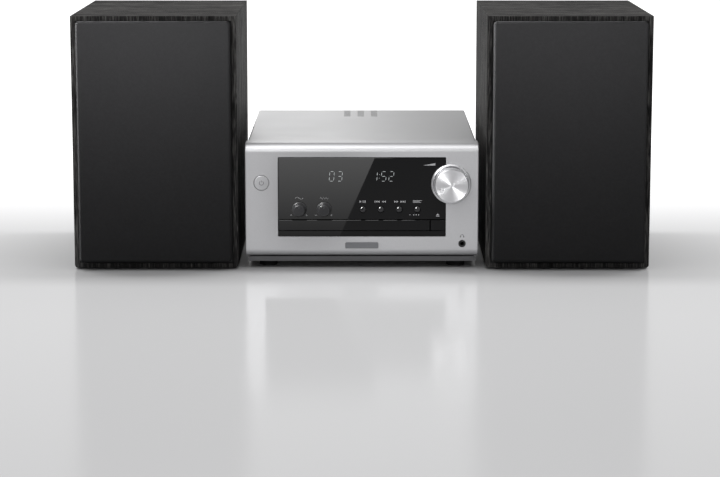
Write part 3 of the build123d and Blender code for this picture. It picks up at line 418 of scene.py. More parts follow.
# ------------------------------------------------------------------ materials: speakers
def ash_foil():
    """Fibreboard wrapped in black ash foil: long pale fibres between dark pores, under a dead matt lacquer.
    The foil is folded round the box, so the grain lies along X on the top and upright everywhere else.
    The fibres are 0.2 mm across in life, drawn 0.7 mm."""
    made, tree, shader, place = start_finish("woodgrain_vinyl", "#1c1b1b", 0.6, Specular_IOR_Level=0.03)
    facing = add(tree, "ShaderNodeTexCoord").outputs["Normal"]
    sides = add(tree, "ShaderNodeSeparateXYZ", {0: facing})
    spot = add(tree, "ShaderNodeSeparateXYZ", {0: place})
    mostly = 0.6
    up = add(tree, "ShaderNodeMath", {0: sides.outputs["Z"]}, operation="ABSOLUTE")
    on_top = add(tree, "ShaderNodeMath", {0: up.outputs[0], 1: mostly}, operation="GREATER_THAN")
    sideways = add(tree, "ShaderNodeMath", {0: sides.outputs["X"]}, operation="ABSOLUTE")
    on_side = add(tree, "ShaderNodeMath", {0: sideways.outputs[0], 1: mostly}, operation="GREATER_THAN")
    upright_front = add(
        tree,
        "ShaderNodeCombineXYZ",
        {"X": spot.outputs["Z"], "Y": spot.outputs["X"], "Z": spot.outputs["Y"]},
    )
    upright_side = add(
        tree,
        "ShaderNodeCombineXYZ",
        {"X": spot.outputs["Z"], "Y": spot.outputs["Y"], "Z": spot.outputs["X"]},
    )
    walls = add(
        tree,
        "ShaderNodeMix",
        {"Factor": on_side.outputs[0], "A": upright_front.outputs[0], "B": upright_side.outputs[0]},
        data_type="VECTOR",
    )
    grain_place = add(
        tree,
        "ShaderNodeMix",
        {"Factor": on_top.outputs[0], "A": walls.outputs["Result"], "B": place},
        data_type="VECTOR",
    )
    fibre_place = add(
        tree,
        "ShaderNodeMapping",
        {"Vector": grain_place.outputs["Result"], "Scale": (1 / (14 * MM), 1 / (0.7 * MM), 1 / (1.5 * MM))},
    )
    fibres = add(
        tree,
        "ShaderNodeTexNoise",
        {"Vector": fibre_place.outputs[0], "Scale": 1.0, "Detail": 3.0, "Roughness": 0.6, "Distortion": 0.3},
    )
    band_place = add(
        tree,
        "ShaderNodeMapping",
        {"Vector": grain_place.outputs["Result"], "Scale": (1 / (90 * MM), 1 / (7 * MM), 1 / (20 * MM))},
    )
    bands = add(
        tree,
        "ShaderNodeTexNoise",
        {"Vector": band_place.outputs[0], "Scale": 1.0, "Detail": 2.0, "Distortion": 0.8},
    )
    mixed = add(
        tree,
        "ShaderNodeMix",
        {"Factor": 0.25, "A": fibres.outputs["Fac"], "B": bands.outputs["Fac"]},
        data_type="FLOAT",
    )
    tone = add(tree, "ShaderNodeValToRGB", {"Fac": mixed.outputs["Result"]})
    ramp = tone.color_ramp
    ramp.elements[0].position, ramp.elements[0].color = 0.36, linear("#151515")
    ramp.elements[1].position, ramp.elements[1].color = 0.66, linear("#656462")
    middle = ramp.elements.new(0.5)
    middle.color = linear("#313030")
    tree.links.new(tone.outputs["Color"], shader.inputs["Base Color"])
    matte = add(
        tree,
        "ShaderNodeMapRange",
        {"Value": mixed.outputs["Result"], "From Min": 0.35, "From Max": 0.65, "To Min": 0.75, "To Max": 0.5},
    )
    tree.links.new(matte.outputs["Result"], shader.inputs["Roughness"])
    pores = add(
        tree,
        "ShaderNodeBump",
        {"Height": mixed.outputs["Result"], "Distance": 0.12 * MM, "Strength": 0.5},
    )
    tree.links.new(pores.outputs["Normal"], shader.inputs["Normal"])
    return made


def knitted_cloth():
    """Black polyester knit, stretched: small loops with holes between them, and a soft sheen.
    The loops are 0.6 mm apart in life, drawn 1 mm apart."""
    made, tree, shader, place = start_finish(
        "grille_cloth", "#171718", 0.85, Sheen_Weight=0.03, Specular_IOR_Level=0.2
    )
    spot = add(tree, "ShaderNodeSeparateXYZ", {0: place})
    across = add(tree, "ShaderNodeMath", {0: spot.outputs["X"], 1: spot.outputs["Y"]}, operation="ADD")
    upward = add(tree, "ShaderNodeMath", {0: spot.outputs["Z"], 1: spot.outputs["Y"]}, operation="ADD")
    waves = []
    for line in (across, upward):
        phase = add(
            tree, "ShaderNodeMath", {0: line.outputs[0], 1: 2 * math.pi / (1.0 * MM)}, operation="MULTIPLY"
        )
        waves.append(add(tree, "ShaderNodeMath", {0: phase.outputs[0]}, operation="SINE").outputs[0])
    loops = add(tree, "ShaderNodeMath", {0: waves[0], 1: waves[1]}, operation="MULTIPLY")
    cloud = add(tree, "ShaderNodeTexNoise", {"Vector": place, "Scale": 1 / (2.2 * MM), "Detail": 4.0})
    height = add(
        tree,
        "ShaderNodeMath",
        {0: loops.outputs[0], 1: 0.22, 2: cloud.outputs["Fac"]},
        operation="MULTIPLY_ADD",
    )
    tone = add(
        tree,
        "ShaderNodeMix",
        {"Factor": height.outputs[0], "A": linear("#070708"), "B": linear("#141415")},
        data_type="RGBA",
    )
    tree.links.new(tone.outputs["Result"], shader.inputs["Base Color"])
    shader.inputs["Sheen Tint"].default_value = linear("#8a8a8e")
    knit = add(
        tree,
        "ShaderNodeBump",
        {"Height": height.outputs[0], "Distance": 0.15 * MM, "Strength": 0.5},
    )
    tree.links.new(knit.outputs["Normal"], shader.inputs["Normal"])
    return made


def fibrous(name, colour, light, roughness, fibre_mm):
    """Pressed board or paper pulp: short tangled streaks of lighter and darker fibre.
    The fibres are 0.1 mm across in life, drawn as fibre_mm."""
    made, tree, shader, place = start_finish(name, colour, roughness)
    fibres = add(
        tree,
        "ShaderNodeTexNoise",
        {"Vector": place, "Scale": 1 / (fibre_mm * MM), "Detail": 6.0, "Distortion": 2.0},
    )
    tone = add(
        tree,
        "ShaderNodeMix",
        {"Factor": fibres.outputs["Fac"], "A": linear(colour), "B": linear(light)},
        data_type="RGBA",
    )
    tree.links.new(tone.outputs["Result"], shader.inputs["Base Color"])
    fuzz = add(
        tree,
        "ShaderNodeBump",
        {"Height": fibres.outputs["Fac"], "Distance": 0.1 * MM, "Strength": 0.5},
    )
    tree.links.new(fuzz.outputs["Normal"], shader.inputs["Normal"])
    return made


finishes = {
    # The ABS front, sprayed silver, and the steel cover, sprayed a little lighter.
    "silver_moulding": satin_silver("silver_moulding", "#c4c4c6", "#b8b8ba", 0.38),
    "silver_cover": satin_silver("silver_cover", "#cdcdce", "#c2c2c3", 0.40),
    # Sheet steel and the pressed speaker basket, both with a black coating.
    "black_steel": moulded("black_steel", "#1d1d1e", "#262627", 0.42, 0.8, 0.02),
    "basket_steel": moulded("basket_steel", "#161617", "#1d1d1e", 0.4, 0.8, 0.02),
    "smoked_acrylic": polished_acrylic(),
    "black_moulding": moulded("black_moulding", "#121213", "#18181a", 0.45, 0.7, 0.03),
    "knob_black": moulded("knob_black", "#161617", "#1c1c1d", 0.3, 0.6, 0.01),
    "button_black": moulded("button_black", "#0c0c0d", "#121213", 0.12, 2.0, 0.004),
    "badge_metal": brushed_plate(),
    "rubber_foot": moulded("rubber_foot", "#141414", "#1b1b1b", 0.8, 0.6, 0.04),
    "circuit_board": circuit_laminate(),
    "display_glass": moulded("display_glass", "#0c0e0f", "#101314", 0.1, 6.0, 0.002, ior=1.52),
    "zinc_steel": zinc_plate(),
    "socket_plastic": moulded("socket_plastic", "#161617", "#1d1d1e", 0.4, 0.7, 0.02),
    # Nickel-plated brass of the sockets: warmer and glossier than the paint.
    "nickel": satin_silver("nickel", "#cfc9be", "#c2bcb0", 0.2),
    "loader_plastic": moulded("loader_plastic", "#1e1e20", "#26262a", 0.5, 0.7, 0.03),
    "gear_plastic": moulded("gear_plastic", "#ddd8ca", "#e8e4d8", 0.35, 0.9, 0.01, ior=1.48),
    "woodgrain_vinyl": ash_foil(),
    "fibreboard": fibrous("fibreboard", "#161616", "#242424", 0.6, 1.2),
    "grille_cloth": knitted_cloth(),
    "cone_paper": fibrous("cone_paper", "#1a1a1a", "#2a2a29", 0.85, 0.9),
    "surround_rubber": moulded("surround_rubber", "#121212", "#191919", 0.5, 0.8, 0.02),
    "magnet_ferrite": moulded("magnet_ferrite", "#2b2b2d", "#3a3a3d", 0.65, 1.0, 0.05),
}
volume_axis = middle_of("volume_knob")
finishes["spun_aluminium"] = spun_aluminium(volume_axis)
phosphor = lit_segments()
# Screen-printed ink on the pane and on the front, and the base's black steel drawn in a lighter grey: painted
# light, standing in for the light that the base strip catches.
window_ink = moulded("window_ink", "#a8a8aa", "#bcbcbe", 0.6, 0.5, 0.01)
base_grey = moulded("base_grey", "#4e4e50", "#5a5a5c", 0.4, 0.8, 0.02)
panel_ink = moulded("panel_ink", "#4a4a4c", "#565658", 0.6, 0.5, 0.01)
for node_name, node_object in cad_nodes.items():
    node_object.data.materials.clear()
    node_object.data.materials.append(finishes[slots[node_name]])


# ------------------------------------------------------------------ pieces: casing and window
# The base takes the lighter grey, painted light, in place of the black steel of its slot.
own_finish = {"chassis_base": base_grey, "window_sill": finishes["smoked_acrylic"]}
for node_name, edge_mm in (
    ("front_panel", 0.0),
    ("top_cover", 0.0),
    ("chassis_base", 0.2),
    ("display_window", 0.0),
    ("window_sill", 0.25),
    ("front_badge", 0.0),
    ("unit_feet", 0.4),
    ("rear_panel", 0.0),
    ("ac_inlet", 0.0),
    ("speaker_sockets", 0.3),
    ("antenna_socket", 0.2),
    ("headphone_jack", 0.0),
):
    finish = own_finish.get(node_name, finishes[slots[node_name]])
    smooth_copy(node_name, finish, "main_unit", edge_mm)
for node_name, body in (
    ("tray_front", "disc_tray"),
    ("eject_button", "eject_button"),
    ("disc_tray", "disc_tray"),
    ("turntable", "turntable"),
):
    smooth_copy(node_name, finishes[slots[node_name]], body)


# ------------------------------------------------------------------ pieces: knobs and buttons
def volume_knob():
    """Spun cap with a dished face and softly broken edges, on its stem."""
    x, z = volume_axis
    low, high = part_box("volume_knob")
    radius, face, stem_end = (high.x - low.x) / 2, low.y, high.y
    dish, edge = 0.5 * MM, 0.75 * MM
    cap_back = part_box("volume_ring")[1].y - 1.2 * MM
    outline = [(0.0, face + dish), (radius - 1.7 * MM, face + 0.12 * MM)]
    outline += [(radius - 1.3 * MM, face), (radius - edge, face), (radius, face + edge)]
    outline += [(radius, cap_back), (STEM_RADIUS, cap_back), (STEM_RADIUS, stem_end), (0.0, stem_end)]
    shape = turned(bmesh.new(), x, z, softened(outline, 0.35 * MM), steps=160)
    metal = finishes["spun_aluminium"]
    solid_of("volume_cap", shape, metal, "volume_knob", ["volume_knob"])


def volume_ring():
    """Spun ring round the knob, with a rounded lip and a floor deep in its gap."""
    x, z = volume_axis
    low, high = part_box("volume_ring")
    radius, lip, back = (high.x - low.x) / 2, low.y, high.y
    inner, bore, floor, edge = radius - 1.8 * MM, 3.5 * MM, back - 0.8 * MM, 0.9 * MM
    outline = [(bore, back), (radius, back), (radius, lip + edge), (radius - edge, lip)]
    outline += [(inner, lip), (inner, floor), (bore, floor)]
    shape = turned(bmesh.new(), x, z, softened(outline, 0.3 * MM), closed=True, steps=160)
    metal = finishes["spun_aluminium"]
    solid_of("volume_rim", shape, metal, "main_unit", ["volume_ring"])


def tone_knob(name):
    """Moulded knob: a low skirt, a cap with a rounded rim and a grey pointer line."""
    x, z = middle_of(name)
    low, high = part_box(name)
    skirt, face, stem_end = (high.x - low.x) / 2, low.y, high.y
    cap, skirt_back = skirt - 1.6 * MM, front_y - 0.4 * MM
    skirt_front = skirt_back - 1.6 * MM
    outline = [(0.0, face + 0.1 * MM), (cap - 0.6 * MM, face), (cap, face + 0.6 * MM)]
    outline += [(cap, skirt_front), (skirt - 0.5 * MM, skirt_front), (skirt, skirt_front + 0.5 * MM)]
    outline += [(skirt, skirt_back), (STEM_RADIUS, skirt_back), (STEM_RADIUS, stem_end), (0.0, stem_end)]
    shape = turned(bmesh.new(), x, z, softened(outline, 0.3 * MM))
    solid_of(name + "_cap", shape, finishes["knob_black"], name, [name])
    line = bmesh.new()
    cx, cz, thick = x / MM, z / MM, 0.04
    prism(line, box_sign(cx - 0.3, cx + 0.3, cz + 1.8, cz + 4.4), face + thick * MM, depth=thick)
    solid_of(name + "_pointer", line, panel_ink, name)


def dome_button(name):
    """Small polished dome that stands out of its hole in the pane."""
    x, z = middle_of(name)
    low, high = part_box(name)
    top, end = low.y, high.y
    radius, plunger, steps = 3.0 * MM, 1.2 * MM, 8
    dome_base, flange = front_y - 0.4 * MM, front_y + 4.7 * MM
    outline = []
    for i in range(steps + 1):
        t = i / steps * math.pi / 2
        outline.append((radius * math.sin(t), top + (dome_base - top) * (1 - math.cos(t))))
    outline += [(radius, flange), (radius + MM, flange), (radius + MM, flange + MM)]
    outline += [(plunger, flange + MM), (plunger, end), (0.0, end)]
    shape = turned(bmesh.new(), x, z, outline, steps=48)
    solid_of(name + "_dome", shape, finishes["button_black"], name, [name])


def power_button():
    """Round satin button, slightly proud, with a rounded rim."""
    x, z = middle_of("power_button")
    low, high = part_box("power_button")
    radius, face, end, wall = 6.75 * MM, low.y, high.y, front_y + 3.2 * MM
    edge, flange, plunger = 0.45 * MM, 1.2 * MM, 1.6 * MM
    outline = [(0.0, face), (radius - edge, face), (radius, face + edge), (radius, wall)]
    outline += [(radius + flange, wall), (radius + flange, wall + flange)]
    outline += [(plunger, wall + flange), (plunger, end), (0.0, end)]
    shape = turned(bmesh.new(), x, z, softened(outline, 0.2 * MM))
    silver = finishes["silver_moulding"]
    solid_of("power_key", shape, silver, "power_button", ["power_button"])


volume_knob()
volume_ring()
for knob in ("bass_knob", "treble_knob"):
    tone_knob(knob)
for button in SMALL_BUTTONS:
    dome_button(button)
power_button()


# ------------------------------------------------------------------ printed signs
def band(points, width):
    """Quads of that width along a line of (x, z) points, in millimetres."""
    quads = []
    for (x0, z0), (x1, z1) in zip(points, points[1:]):
        run = math.hypot(x1 - x0, z1 - z0)
        ax, az = (x1 - x0) / run, (z1 - z0) / run
        nx, nz = -az * width / 2, ax * width / 2
        ex, ez = ax * width * 0.3, az * width * 0.3
        start = [(x0 - ex + nx, z0 - ez + nz), (x0 - ex - nx, z0 - ez - nz)]
        quads.append(start + [(x1 + ex - nx, z1 + ez - nz), (x1 + ex + nx, z1 + ez + nz)])
    return quads


def arc_points(x, z, radius, start, end, steps):
    """Points on an arc about (x, z), from one angle to another in degrees."""
    angles = [math.radians(start + (end - start) * i / steps) for i in range(steps + 1)]
    return [(x + radius * math.cos(a), z + radius * math.sin(a)) for a in angles]


def wave_points(x, z, length, height, periods):
    """Points on a sine wave whose middle is (x, z)."""
    steps = 10 * periods
    shares = [i / steps for i in range(steps + 1)]
    return [
        (x + length * (s - 0.5), z + height / 2 * math.sin(2 * math.pi * periods * s)) for s in shares
    ]


def arrow(x, z, size, way):
    """Triangle that points right (way 1) or left (way -1)."""
    return [(x, z - size / 2), (x + way * size * 0.8, z), (x, z + size / 2)]


def window_signs():
    """Pale signs on the pane: waves over the tone knobs, transport signs over the buttons, a rising ramp."""
    signs = []
    for name, periods in (("bass_knob", 1), ("treble_knob", 3)):
        x, z = [value / MM for value in middle_of(name)]
        signs += band(wave_points(x, z + 10.2, 7.0, 1.9, periods), 0.42)
        signs.append(box_sign(x - 8.2, x - 6.4, z - 5.5, z - 5.1))
        signs.append(box_sign(x + 5.8, x + 7.4, z - 5.5, z - 5.1))
        signs.append(box_sign(x + 6.4, x + 6.8, z - 6.1, z - 4.5))
    places = {name: middle_of(name)[0] / MM for name in SMALL_BUTTONS}
    above_buttons = 7.0
    z = middle_of("play_button")[1] / MM + above_buttons
    x = places["play_button"]
    signs += [arrow(x - 3.0, z, 2.2, 1), box_sign(x + 0.6, x + 1.2, z - 1.1, z + 1.1)]
    signs += [box_sign(x + 1.8, x + 2.4, z - 1.1, z + 1.1), box_sign(x - 0.7, x - 0.4, z - 1.1, z + 1.1)]
    for name, way in (("skip_back_button", -1), ("skip_forward_button", 1)):
        x = places[name]
        for start in (-4.4, -2.4, 1.2, 3.2):
            signs.append(arrow(x + way * start, z, 2.0, way))
        left, right = sorted((x + way * 5.1, x + way * 5.6))
        signs.append(box_sign(left, right, z - 1.0, z + 1.0))
    x = places["selector_button"]
    for line, length in enumerate((8.28, 6.12, 7.2)):
        bottom = z + 0.75 - line * 0.85
        signs.append(box_sign(x - 4.0, x - 4.0 + length, bottom, bottom + 0.35))
    signs.append(box_sign(x - 7.2, x - 6.0, z - 12.3, z - 11.9))
    for i in range(3):
        signs.append(arc_points(x - 3.2 + 2.2 * i, z - 12.1, 0.5, 0, 324, 9))
    above_eject = 4.45
    x, z = middle_of("eject_button")[0] / MM - 0.2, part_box("eject_button")[1].z / MM + above_eject
    signs.append([(x - 1.5, z - 0.2), (x + 1.5, z - 0.2), (x, z + 1.6)])
    signs.append(box_sign(x - 1.5, x + 1.5, z - 1.2, z - 0.7))
    beside_knob, above_axis = 19.9, 17.8
    x, z = volume_axis[0] / MM - beside_knob, volume_axis[1] / MM + above_axis
    signs.append([(x - 5.6, z - 1.0), (x + 5.6, z - 1.0), (x + 5.6, z + 1.0)])
    ink = bmesh.new()
    for corners in signs:
        prism(ink, corners, front_y)
    solid_of("window_signs", ink, window_ink, "main_unit")


def panel_signs():
    """Grey signs on the silver front: headphones over their socket, an open ring and a bar on the
    power button."""
    above_socket = 1.0
    x, z = middle_of("headphone_jack")[0] / MM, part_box("headphone_jack")[1].z / MM + above_socket
    signs = band(arc_points(x, z - 0.2, 1.5, 0, 180, 8), 0.35)
    signs += [box_sign(x - 1.9, x - 1.1, z - 1.3, z - 0.1), box_sign(x + 1.1, x + 1.9, z - 1.3, z - 0.1)]
    ink = bmesh.new()
    for corners in signs:
        prism(ink, corners, front_y)
    solid_of("headphone_sign", ink, panel_ink, "main_unit")
    x, z = [value / MM for value in middle_of("power_button")]
    signs = band(arc_points(x, z, 1.9, 125, 415, 16), 0.4) + [box_sign(x - 0.2, x + 0.2, z + 0.6, z + 2.4)]
    ink = bmesh.new()
    for corners in signs:
        prism(ink, corners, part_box("power_button")[0].y)
    solid_of("power_sign", ink, panel_ink, "power_button")


window_signs()
panel_signs()


# ------------------------------------------------------------------ display, with Geometry Nodes
SEGMENTS = {"0": "abcdef", "1": "bc", "2": "abged", "3": "abgcd", "5": "afgcd"}


def segment_tree():
    """Puts a thin pointed bar on every point, turned and stretched by the point's own values."""
    tree = bpy.data.node_groups.new("display_segments", "GeometryNodeTree")
    ports = tree.interface
    ports.new_socket("Geometry", in_out="INPUT", socket_type="NodeSocketGeometry")
    for name, value in (("Stroke", 0.55 * MM), ("Thickness", 0.03 * MM)):
        ports.new_socket(name, in_out="INPUT", socket_type="NodeSocketFloat").default_value = value
    ports.new_socket("Finish", in_out="INPUT", socket_type="NodeSocketMaterial")
    ports.new_socket("Geometry", in_out="OUTPUT", socket_type="NodeSocketGeometry")
    given = add(tree, "NodeGroupInput").outputs
    face = add(tree, "GeometryNodeMeshCircle", {"Vertices": 6, "Radius": 0.5}, fill_type="NGON")
    across_flats = 1.15
    width = add(tree, "ShaderNodeMath", {0: given["Stroke"], 1: across_flats}, operation="MULTIPLY")
    slim = add(tree, "ShaderNodeCombineXYZ", {"X": 1.0, "Y": width.outputs[0], "Z": 1.0})
    flat = add(tree, "GeometryNodeTransform", {"Geometry": face.outputs["Mesh"], "Scale": slim.outputs[0]})
    bar = add(
        tree,
        "GeometryNodeExtrudeMesh",
        {"Mesh": flat.outputs[0], "Offset Scale": given["Thickness"], "Offset": (0.0, 0.0, 1.0)},
        mode="FACES",
    )
    both = add(tree, "GeometryNodeJoinGeometry")
    back = add(tree, "GeometryNodeFlipFaces", {0: flat.outputs[0]})
    tree.links.new(bar.outputs["Mesh"], both.inputs[0])
    tree.links.new(back.outputs[0], both.inputs[0])
    upright = add(
        tree, "GeometryNodeTransform", {"Geometry": both.outputs[0], "Rotation": (math.pi / 2, 0.0, 0.0)}
    )
    turn = add(tree, "GeometryNodeInputNamedAttribute", {"Name": "turn"}, data_type="FLOAT")
    span = add(tree, "GeometryNodeInputNamedAttribute", {"Name": "span"}, data_type="FLOAT")
    rotation = add(tree, "ShaderNodeCombineXYZ", {"X": 0.0, "Y": turn.outputs[0], "Z": 0.0})
    scale = add(tree, "ShaderNodeCombineXYZ", {"X": span.outputs[0], "Y": 1.0, "Z": 1.0})
    placed = add(
        tree,
        "GeometryNodeInstanceOnPoints",
        {
            "Points": given["Geometry"],
            "Instance": upright.outputs[0],
            "Rotation": rotation.outputs[0],
            "Scale": scale.outputs[0],
        },
    )
    real = add(tree, "GeometryNodeRealizeInstances", {0: placed.outputs[0]})
    coated = add(tree, "GeometryNodeSetMaterial", {0: real.outputs[0], "Material": given["Finish"]})
    add(tree, "NodeGroupOutput", {0: coated.outputs[0]})
    return tree


def run_tree(piece, tree, values):
    """Runs a geometry tree on a piece with the given inputs, and leaves the plain mesh that it makes."""
    made = piece.modifiers.new(tree.name, "NODES")
    made.node_group = tree
    for item in tree.interface.items_tree:
        if item.item_type == "SOCKET" and item.in_out == "INPUT" and item.name in values:
            made[item.identifier] = values[item.name]
    return baked(piece)


def lit_figures():
    """Two figures on the left and three on the right of the display, as lit bars that lean a little."""
    height, width, lean, gap = 8.7, 4.1, 0.08, 0.5
    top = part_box("display_window")[1].z / MM - 14.3
    bottom, middle = top - height, top - height / 2
    points, turns, spans = [], [], []

    def bar(x0, z0, x1, z1):
        x0, x1 = x0 + lean * (z0 - bottom), x1 + lean * (z1 - bottom)
        points.append(((x0 + x1) / 2 * MM, front_y, (z0 + z1) / 2 * MM))
        turns.append(-math.atan2(z1 - z0, x1 - x0))
        spans.append(math.hypot(x1 - x0, z1 - z0) * MM)

    for x, figure in ((-29.6, "0"), (-22.3, "3"), (9.3, "1"), (17.3, "5"), (24.2, "2")):
        right = x + width
        lines = {
            "a": (x + gap, top, right - gap, top),
            "b": (right, middle + gap, right, top - gap),
            "c": (right, bottom + gap, right, middle - gap),
            "d": (x + gap, bottom, right - gap, bottom),
            "e": (x, bottom + gap, x, middle - gap),
            "f": (x, middle + gap, x, top - gap),
            "g": (x + gap, middle, right - gap, middle),
        }
        for name in SEGMENTS[figure]:
            bar(*lines[name])
    dot_left, dot_right = 15.2, 15.8
    for z in (middle - 1.6, middle + 1.6):
        bar(dot_left, z, dot_right, z)
    mesh = bpy.data.meshes.new("display_figures")
    mesh.from_pydata(points, [], [])
    for name, values in (("turn", turns), ("span", spans)):
        mesh.attributes.new(name, "FLOAT", "POINT").data.foreach_set("value", values)
    piece = in_scene("display_figures", mesh)
    run_tree(piece, segment_tree(), {"Stroke": 0.42 * MM, "Thickness": 0.03 * MM, "Finish": phosphor})
    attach(piece, "main_unit")


lit_figures()


# ------------------------------------------------------------------ screws, with Geometry Nodes
def screw_head():
    """Pan head along +Z with a cross recess, as one closed mesh."""
    radius, height = SCREW_HEAD_RADIUS, 1.3 * MM
    outline = [(0.0, height), (0.55 * radius, height), (0.93 * radius, 0.55 * height)]
    outline = softened(outline + [(radius, 0.0), (0.0, 0.0)], 0.3 * MM, steps=2)
    shape = turned(bmesh.new(), 0.0, 0.0, [(r, -h) for r, h in outline], steps=32)
    for vertex in shape.verts:
        vertex.co = Vector((vertex.co.x, vertex.co.z, -vertex.co.y))
    bmesh.ops.remove_doubles(shape, verts=shape.verts, dist=1e-7)
    bmesh.ops.recalc_face_normals(shape, faces=shape.faces)
    head = in_scene("screw_head", mesh_of("screw_head", shape))
    cross = bmesh.new()
    long_arm, short_arm, taper = 3.2 * MM, 0.56 * MM, 0.55
    for width, depth in ((long_arm, short_arm), (short_arm, long_arm)):
        for corner in bmesh.ops.create_cube(cross, size=1.0)["verts"]:
            upper = corner.co.z > 0
            corner.co.x *= width * (1.0 if upper else taper)
            corner.co.y *= depth * (1.0 if upper else taper)
            corner.co.z = height * (1.3 if upper else 0.35)
    cutter = in_scene("cross_cutter", mesh_of("cross_cutter", cross))
    recess = head.modifiers.new("recess", "BOOLEAN")
    recess.object = cutter
    recess.solver = "EXACT"
    recess.use_self = True
    baked(head)
    bpy.data.objects.remove(cutter)
    return head


def screw_tree():
    """Puts the head on every point, turned so that it faces along the point's own direction."""
    tree = bpy.data.node_groups.new("case_screws", "GeometryNodeTree")
    ports = tree.interface
    ports.new_socket("Geometry", in_out="INPUT", socket_type="NodeSocketGeometry")
    ports.new_socket("Head", in_out="INPUT", socket_type="NodeSocketObject")
    ports.new_socket("Seed", in_out="INPUT", socket_type="NodeSocketInt").default_value = 7
    ports.new_socket("Finish", in_out="INPUT", socket_type="NodeSocketMaterial")
    ports.new_socket("Geometry", in_out="OUTPUT", socket_type="NodeSocketGeometry")
    given = add(tree, "NodeGroupInput").outputs
    head = add(tree, "GeometryNodeObjectInfo", {"Object": given["Head"]})
    facing = add(tree, "GeometryNodeInputNamedAttribute", {"Name": "facing"}, data_type="FLOAT_VECTOR")
    driven = add(
        tree, "FunctionNodeRandomValue", {2: 0.0, 3: math.pi, "Seed": given["Seed"]}, data_type="FLOAT"
    )
    spun = add(tree, "ShaderNodeCombineXYZ", {"X": 0.0, "Y": 0.0, "Z": driven.outputs[1]})
    aimed = add(
        tree,
        "FunctionNodeAlignRotationToVector",
        {"Rotation": spun.outputs[0], "Vector": facing.outputs[0]},
        axis="Z",
    )
    placed = add(
        tree,
        "GeometryNodeInstanceOnPoints",
        {"Points": given["Geometry"], "Instance": head.outputs["Geometry"], "Rotation": aimed.outputs[0]},
    )
    real = add(tree, "GeometryNodeRealizeInstances", {0: placed.outputs[0]})
    coated = add(tree, "GeometryNodeSetMaterial", {0: real.outputs[0], "Material": given["Finish"]})
    add(tree, "NodeGroupOutput", {0: coated.outputs[0]})
    return tree


def case_screws():
    """Two screws in each side of the cover and four in the back panel."""
    low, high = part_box("case_screws")
    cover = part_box("top_cover")[1]
    panel_low, panel_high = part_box("rear_panel")
    from_end = 40.0 * MM
    side_y = (low.y + SCREW_HEAD_RADIUS, cover.y - from_end)
    side_z = low.z + SCREW_HEAD_RADIUS
    rear_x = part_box("chassis_base")[1].x - 8.0 * MM
    rear_z = (panel_low.z - 0.2 * MM + from_end, high.z - SCREW_HEAD_RADIUS)
    spots = [((side * cover.x, y, side_z), (side, 0, 0)) for side in (-1, 1) for y in side_y]
    spots += [((side * rear_x, panel_high.y, z), (0, 1, 0)) for side in (-1, 1) for z in rear_z]
    mesh = bpy.data.meshes.new("case_screw_heads")
    mesh.from_pydata([spot for spot, _ in spots], [], [])
    facing = mesh.attributes.new("facing", "FLOAT_VECTOR", "POINT")
    facing.data.foreach_set("vector", [value for _, way in spots for value in way])
    piece = in_scene("case_screw_heads", mesh)
    head = screw_head()
    run_tree(piece, screw_tree(), {"Head": head, "Seed": 7, "Finish": finishes["zinc_steel"]})
    bpy.data.objects.remove(head)
    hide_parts("case_screws")
    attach(piece, "main_unit")


case_screws()


# ------------------------------------------------------------------ speakers
def grille_sheet(side):
    """Cloth stretched over the grille's frame: flat in front, rolled over the rim and down its sides."""
    low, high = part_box(side + "_grille_cloth")
    corner, roll, thick, steps = 3.0 * MM, 2.0 * MM, 0.6 * MM, 8
    rings = []
    depths = [(0.0, high.y), (0.0, low.y + roll)]
    for i in range(1, steps + 1):
        t = i / steps * math.pi / 2
        depths.append((roll * (1 - math.cos(t)), low.y + roll * (1 - math.sin(t))))
    shape = bmesh.new()
    for inset, y in depths:
        ring = []
        reach = corner - inset
        left, right, bottom, top = low.x + corner, high.x - corner, low.z + corner, high.z - corner
        for quarter, (x, z) in enumerate(((right, top), (left, top), (left, bottom), (right, bottom))):
            for i in range(7):
                a = math.radians(90 * quarter + 15 * i)
                ring.append(shape.verts.new((x + reach * math.cos(a), y, z + reach * math.sin(a))))
        rings.append(ring)
    count = len(rings[0])
    for one, other in zip(rings, rings[1:]):
        for i in range(count):
            j = (i + 1) % count
            shape.faces.new((one[i], one[j], other[j], other[i]))
    front = shape.faces.new(rings[-1])
    bmesh.ops.triangulate(shape, faces=[front])
    bmesh.ops.recalc_face_normals(shape, faces=shape.faces)
    if shape.faces[0].normal.dot(shape.faces[0].calc_center_median() - (low + high) / 2) < 0:
        bmesh.ops.reverse_faces(shape, faces=shape.faces)
    for face in shape.faces:
        face.smooth = True
    mesh = mesh_of(side + "_grille_sheet", shape)
    mesh.materials.append(finishes["grille_cloth"])
    piece = in_scene(side + "_grille_sheet", mesh)
    wall = piece.modifiers.new("cloth_thickness", "SOLIDIFY")
    wall.thickness = thick
    wall.offset = -1.0
    even = piece.modifiers.new("even_shading", "WEIGHTED_NORMAL")
    even.keep_sharp = True
    baked(piece)
    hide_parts(side + "_grille_cloth")
    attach(piece, side + "_grille")


for side in SIDES:
    grille_sheet(side)
    smooth_copy(side + "_cabinet", finishes["woodgrain_vinyl"], side + "_speaker", 0.35)
    for part in ("woofer_frame", "woofer_surround", "tweeter", "port_tube", "lead_gland", "woofer_magnet"):
        node_name = f"{side}_{part}"
        smooth_copy(node_name, finishes[slots[node_name]], side + "_speaker")
    node_name = side + "_woofer_cone"
    smooth_copy(node_name, finishes["cone_paper"], node_name)
    node_name = side + "_grille_frame"
    smooth_copy(node_name, finishes["black_moulding"], side + "_grille")


# ------------------------------------------------------------------ floor, light and camera
CAMERA_PLACE = Vector((-0.0017, -2.2195, 0.3856))
PANE_PIECES = ("display_window_dressed", "tray_front_dressed", "eject_button_dressed", "window_sill_dressed")
SILVER_PIECES = ("front_panel_dressed", "top_cover_dressed", "power_key")


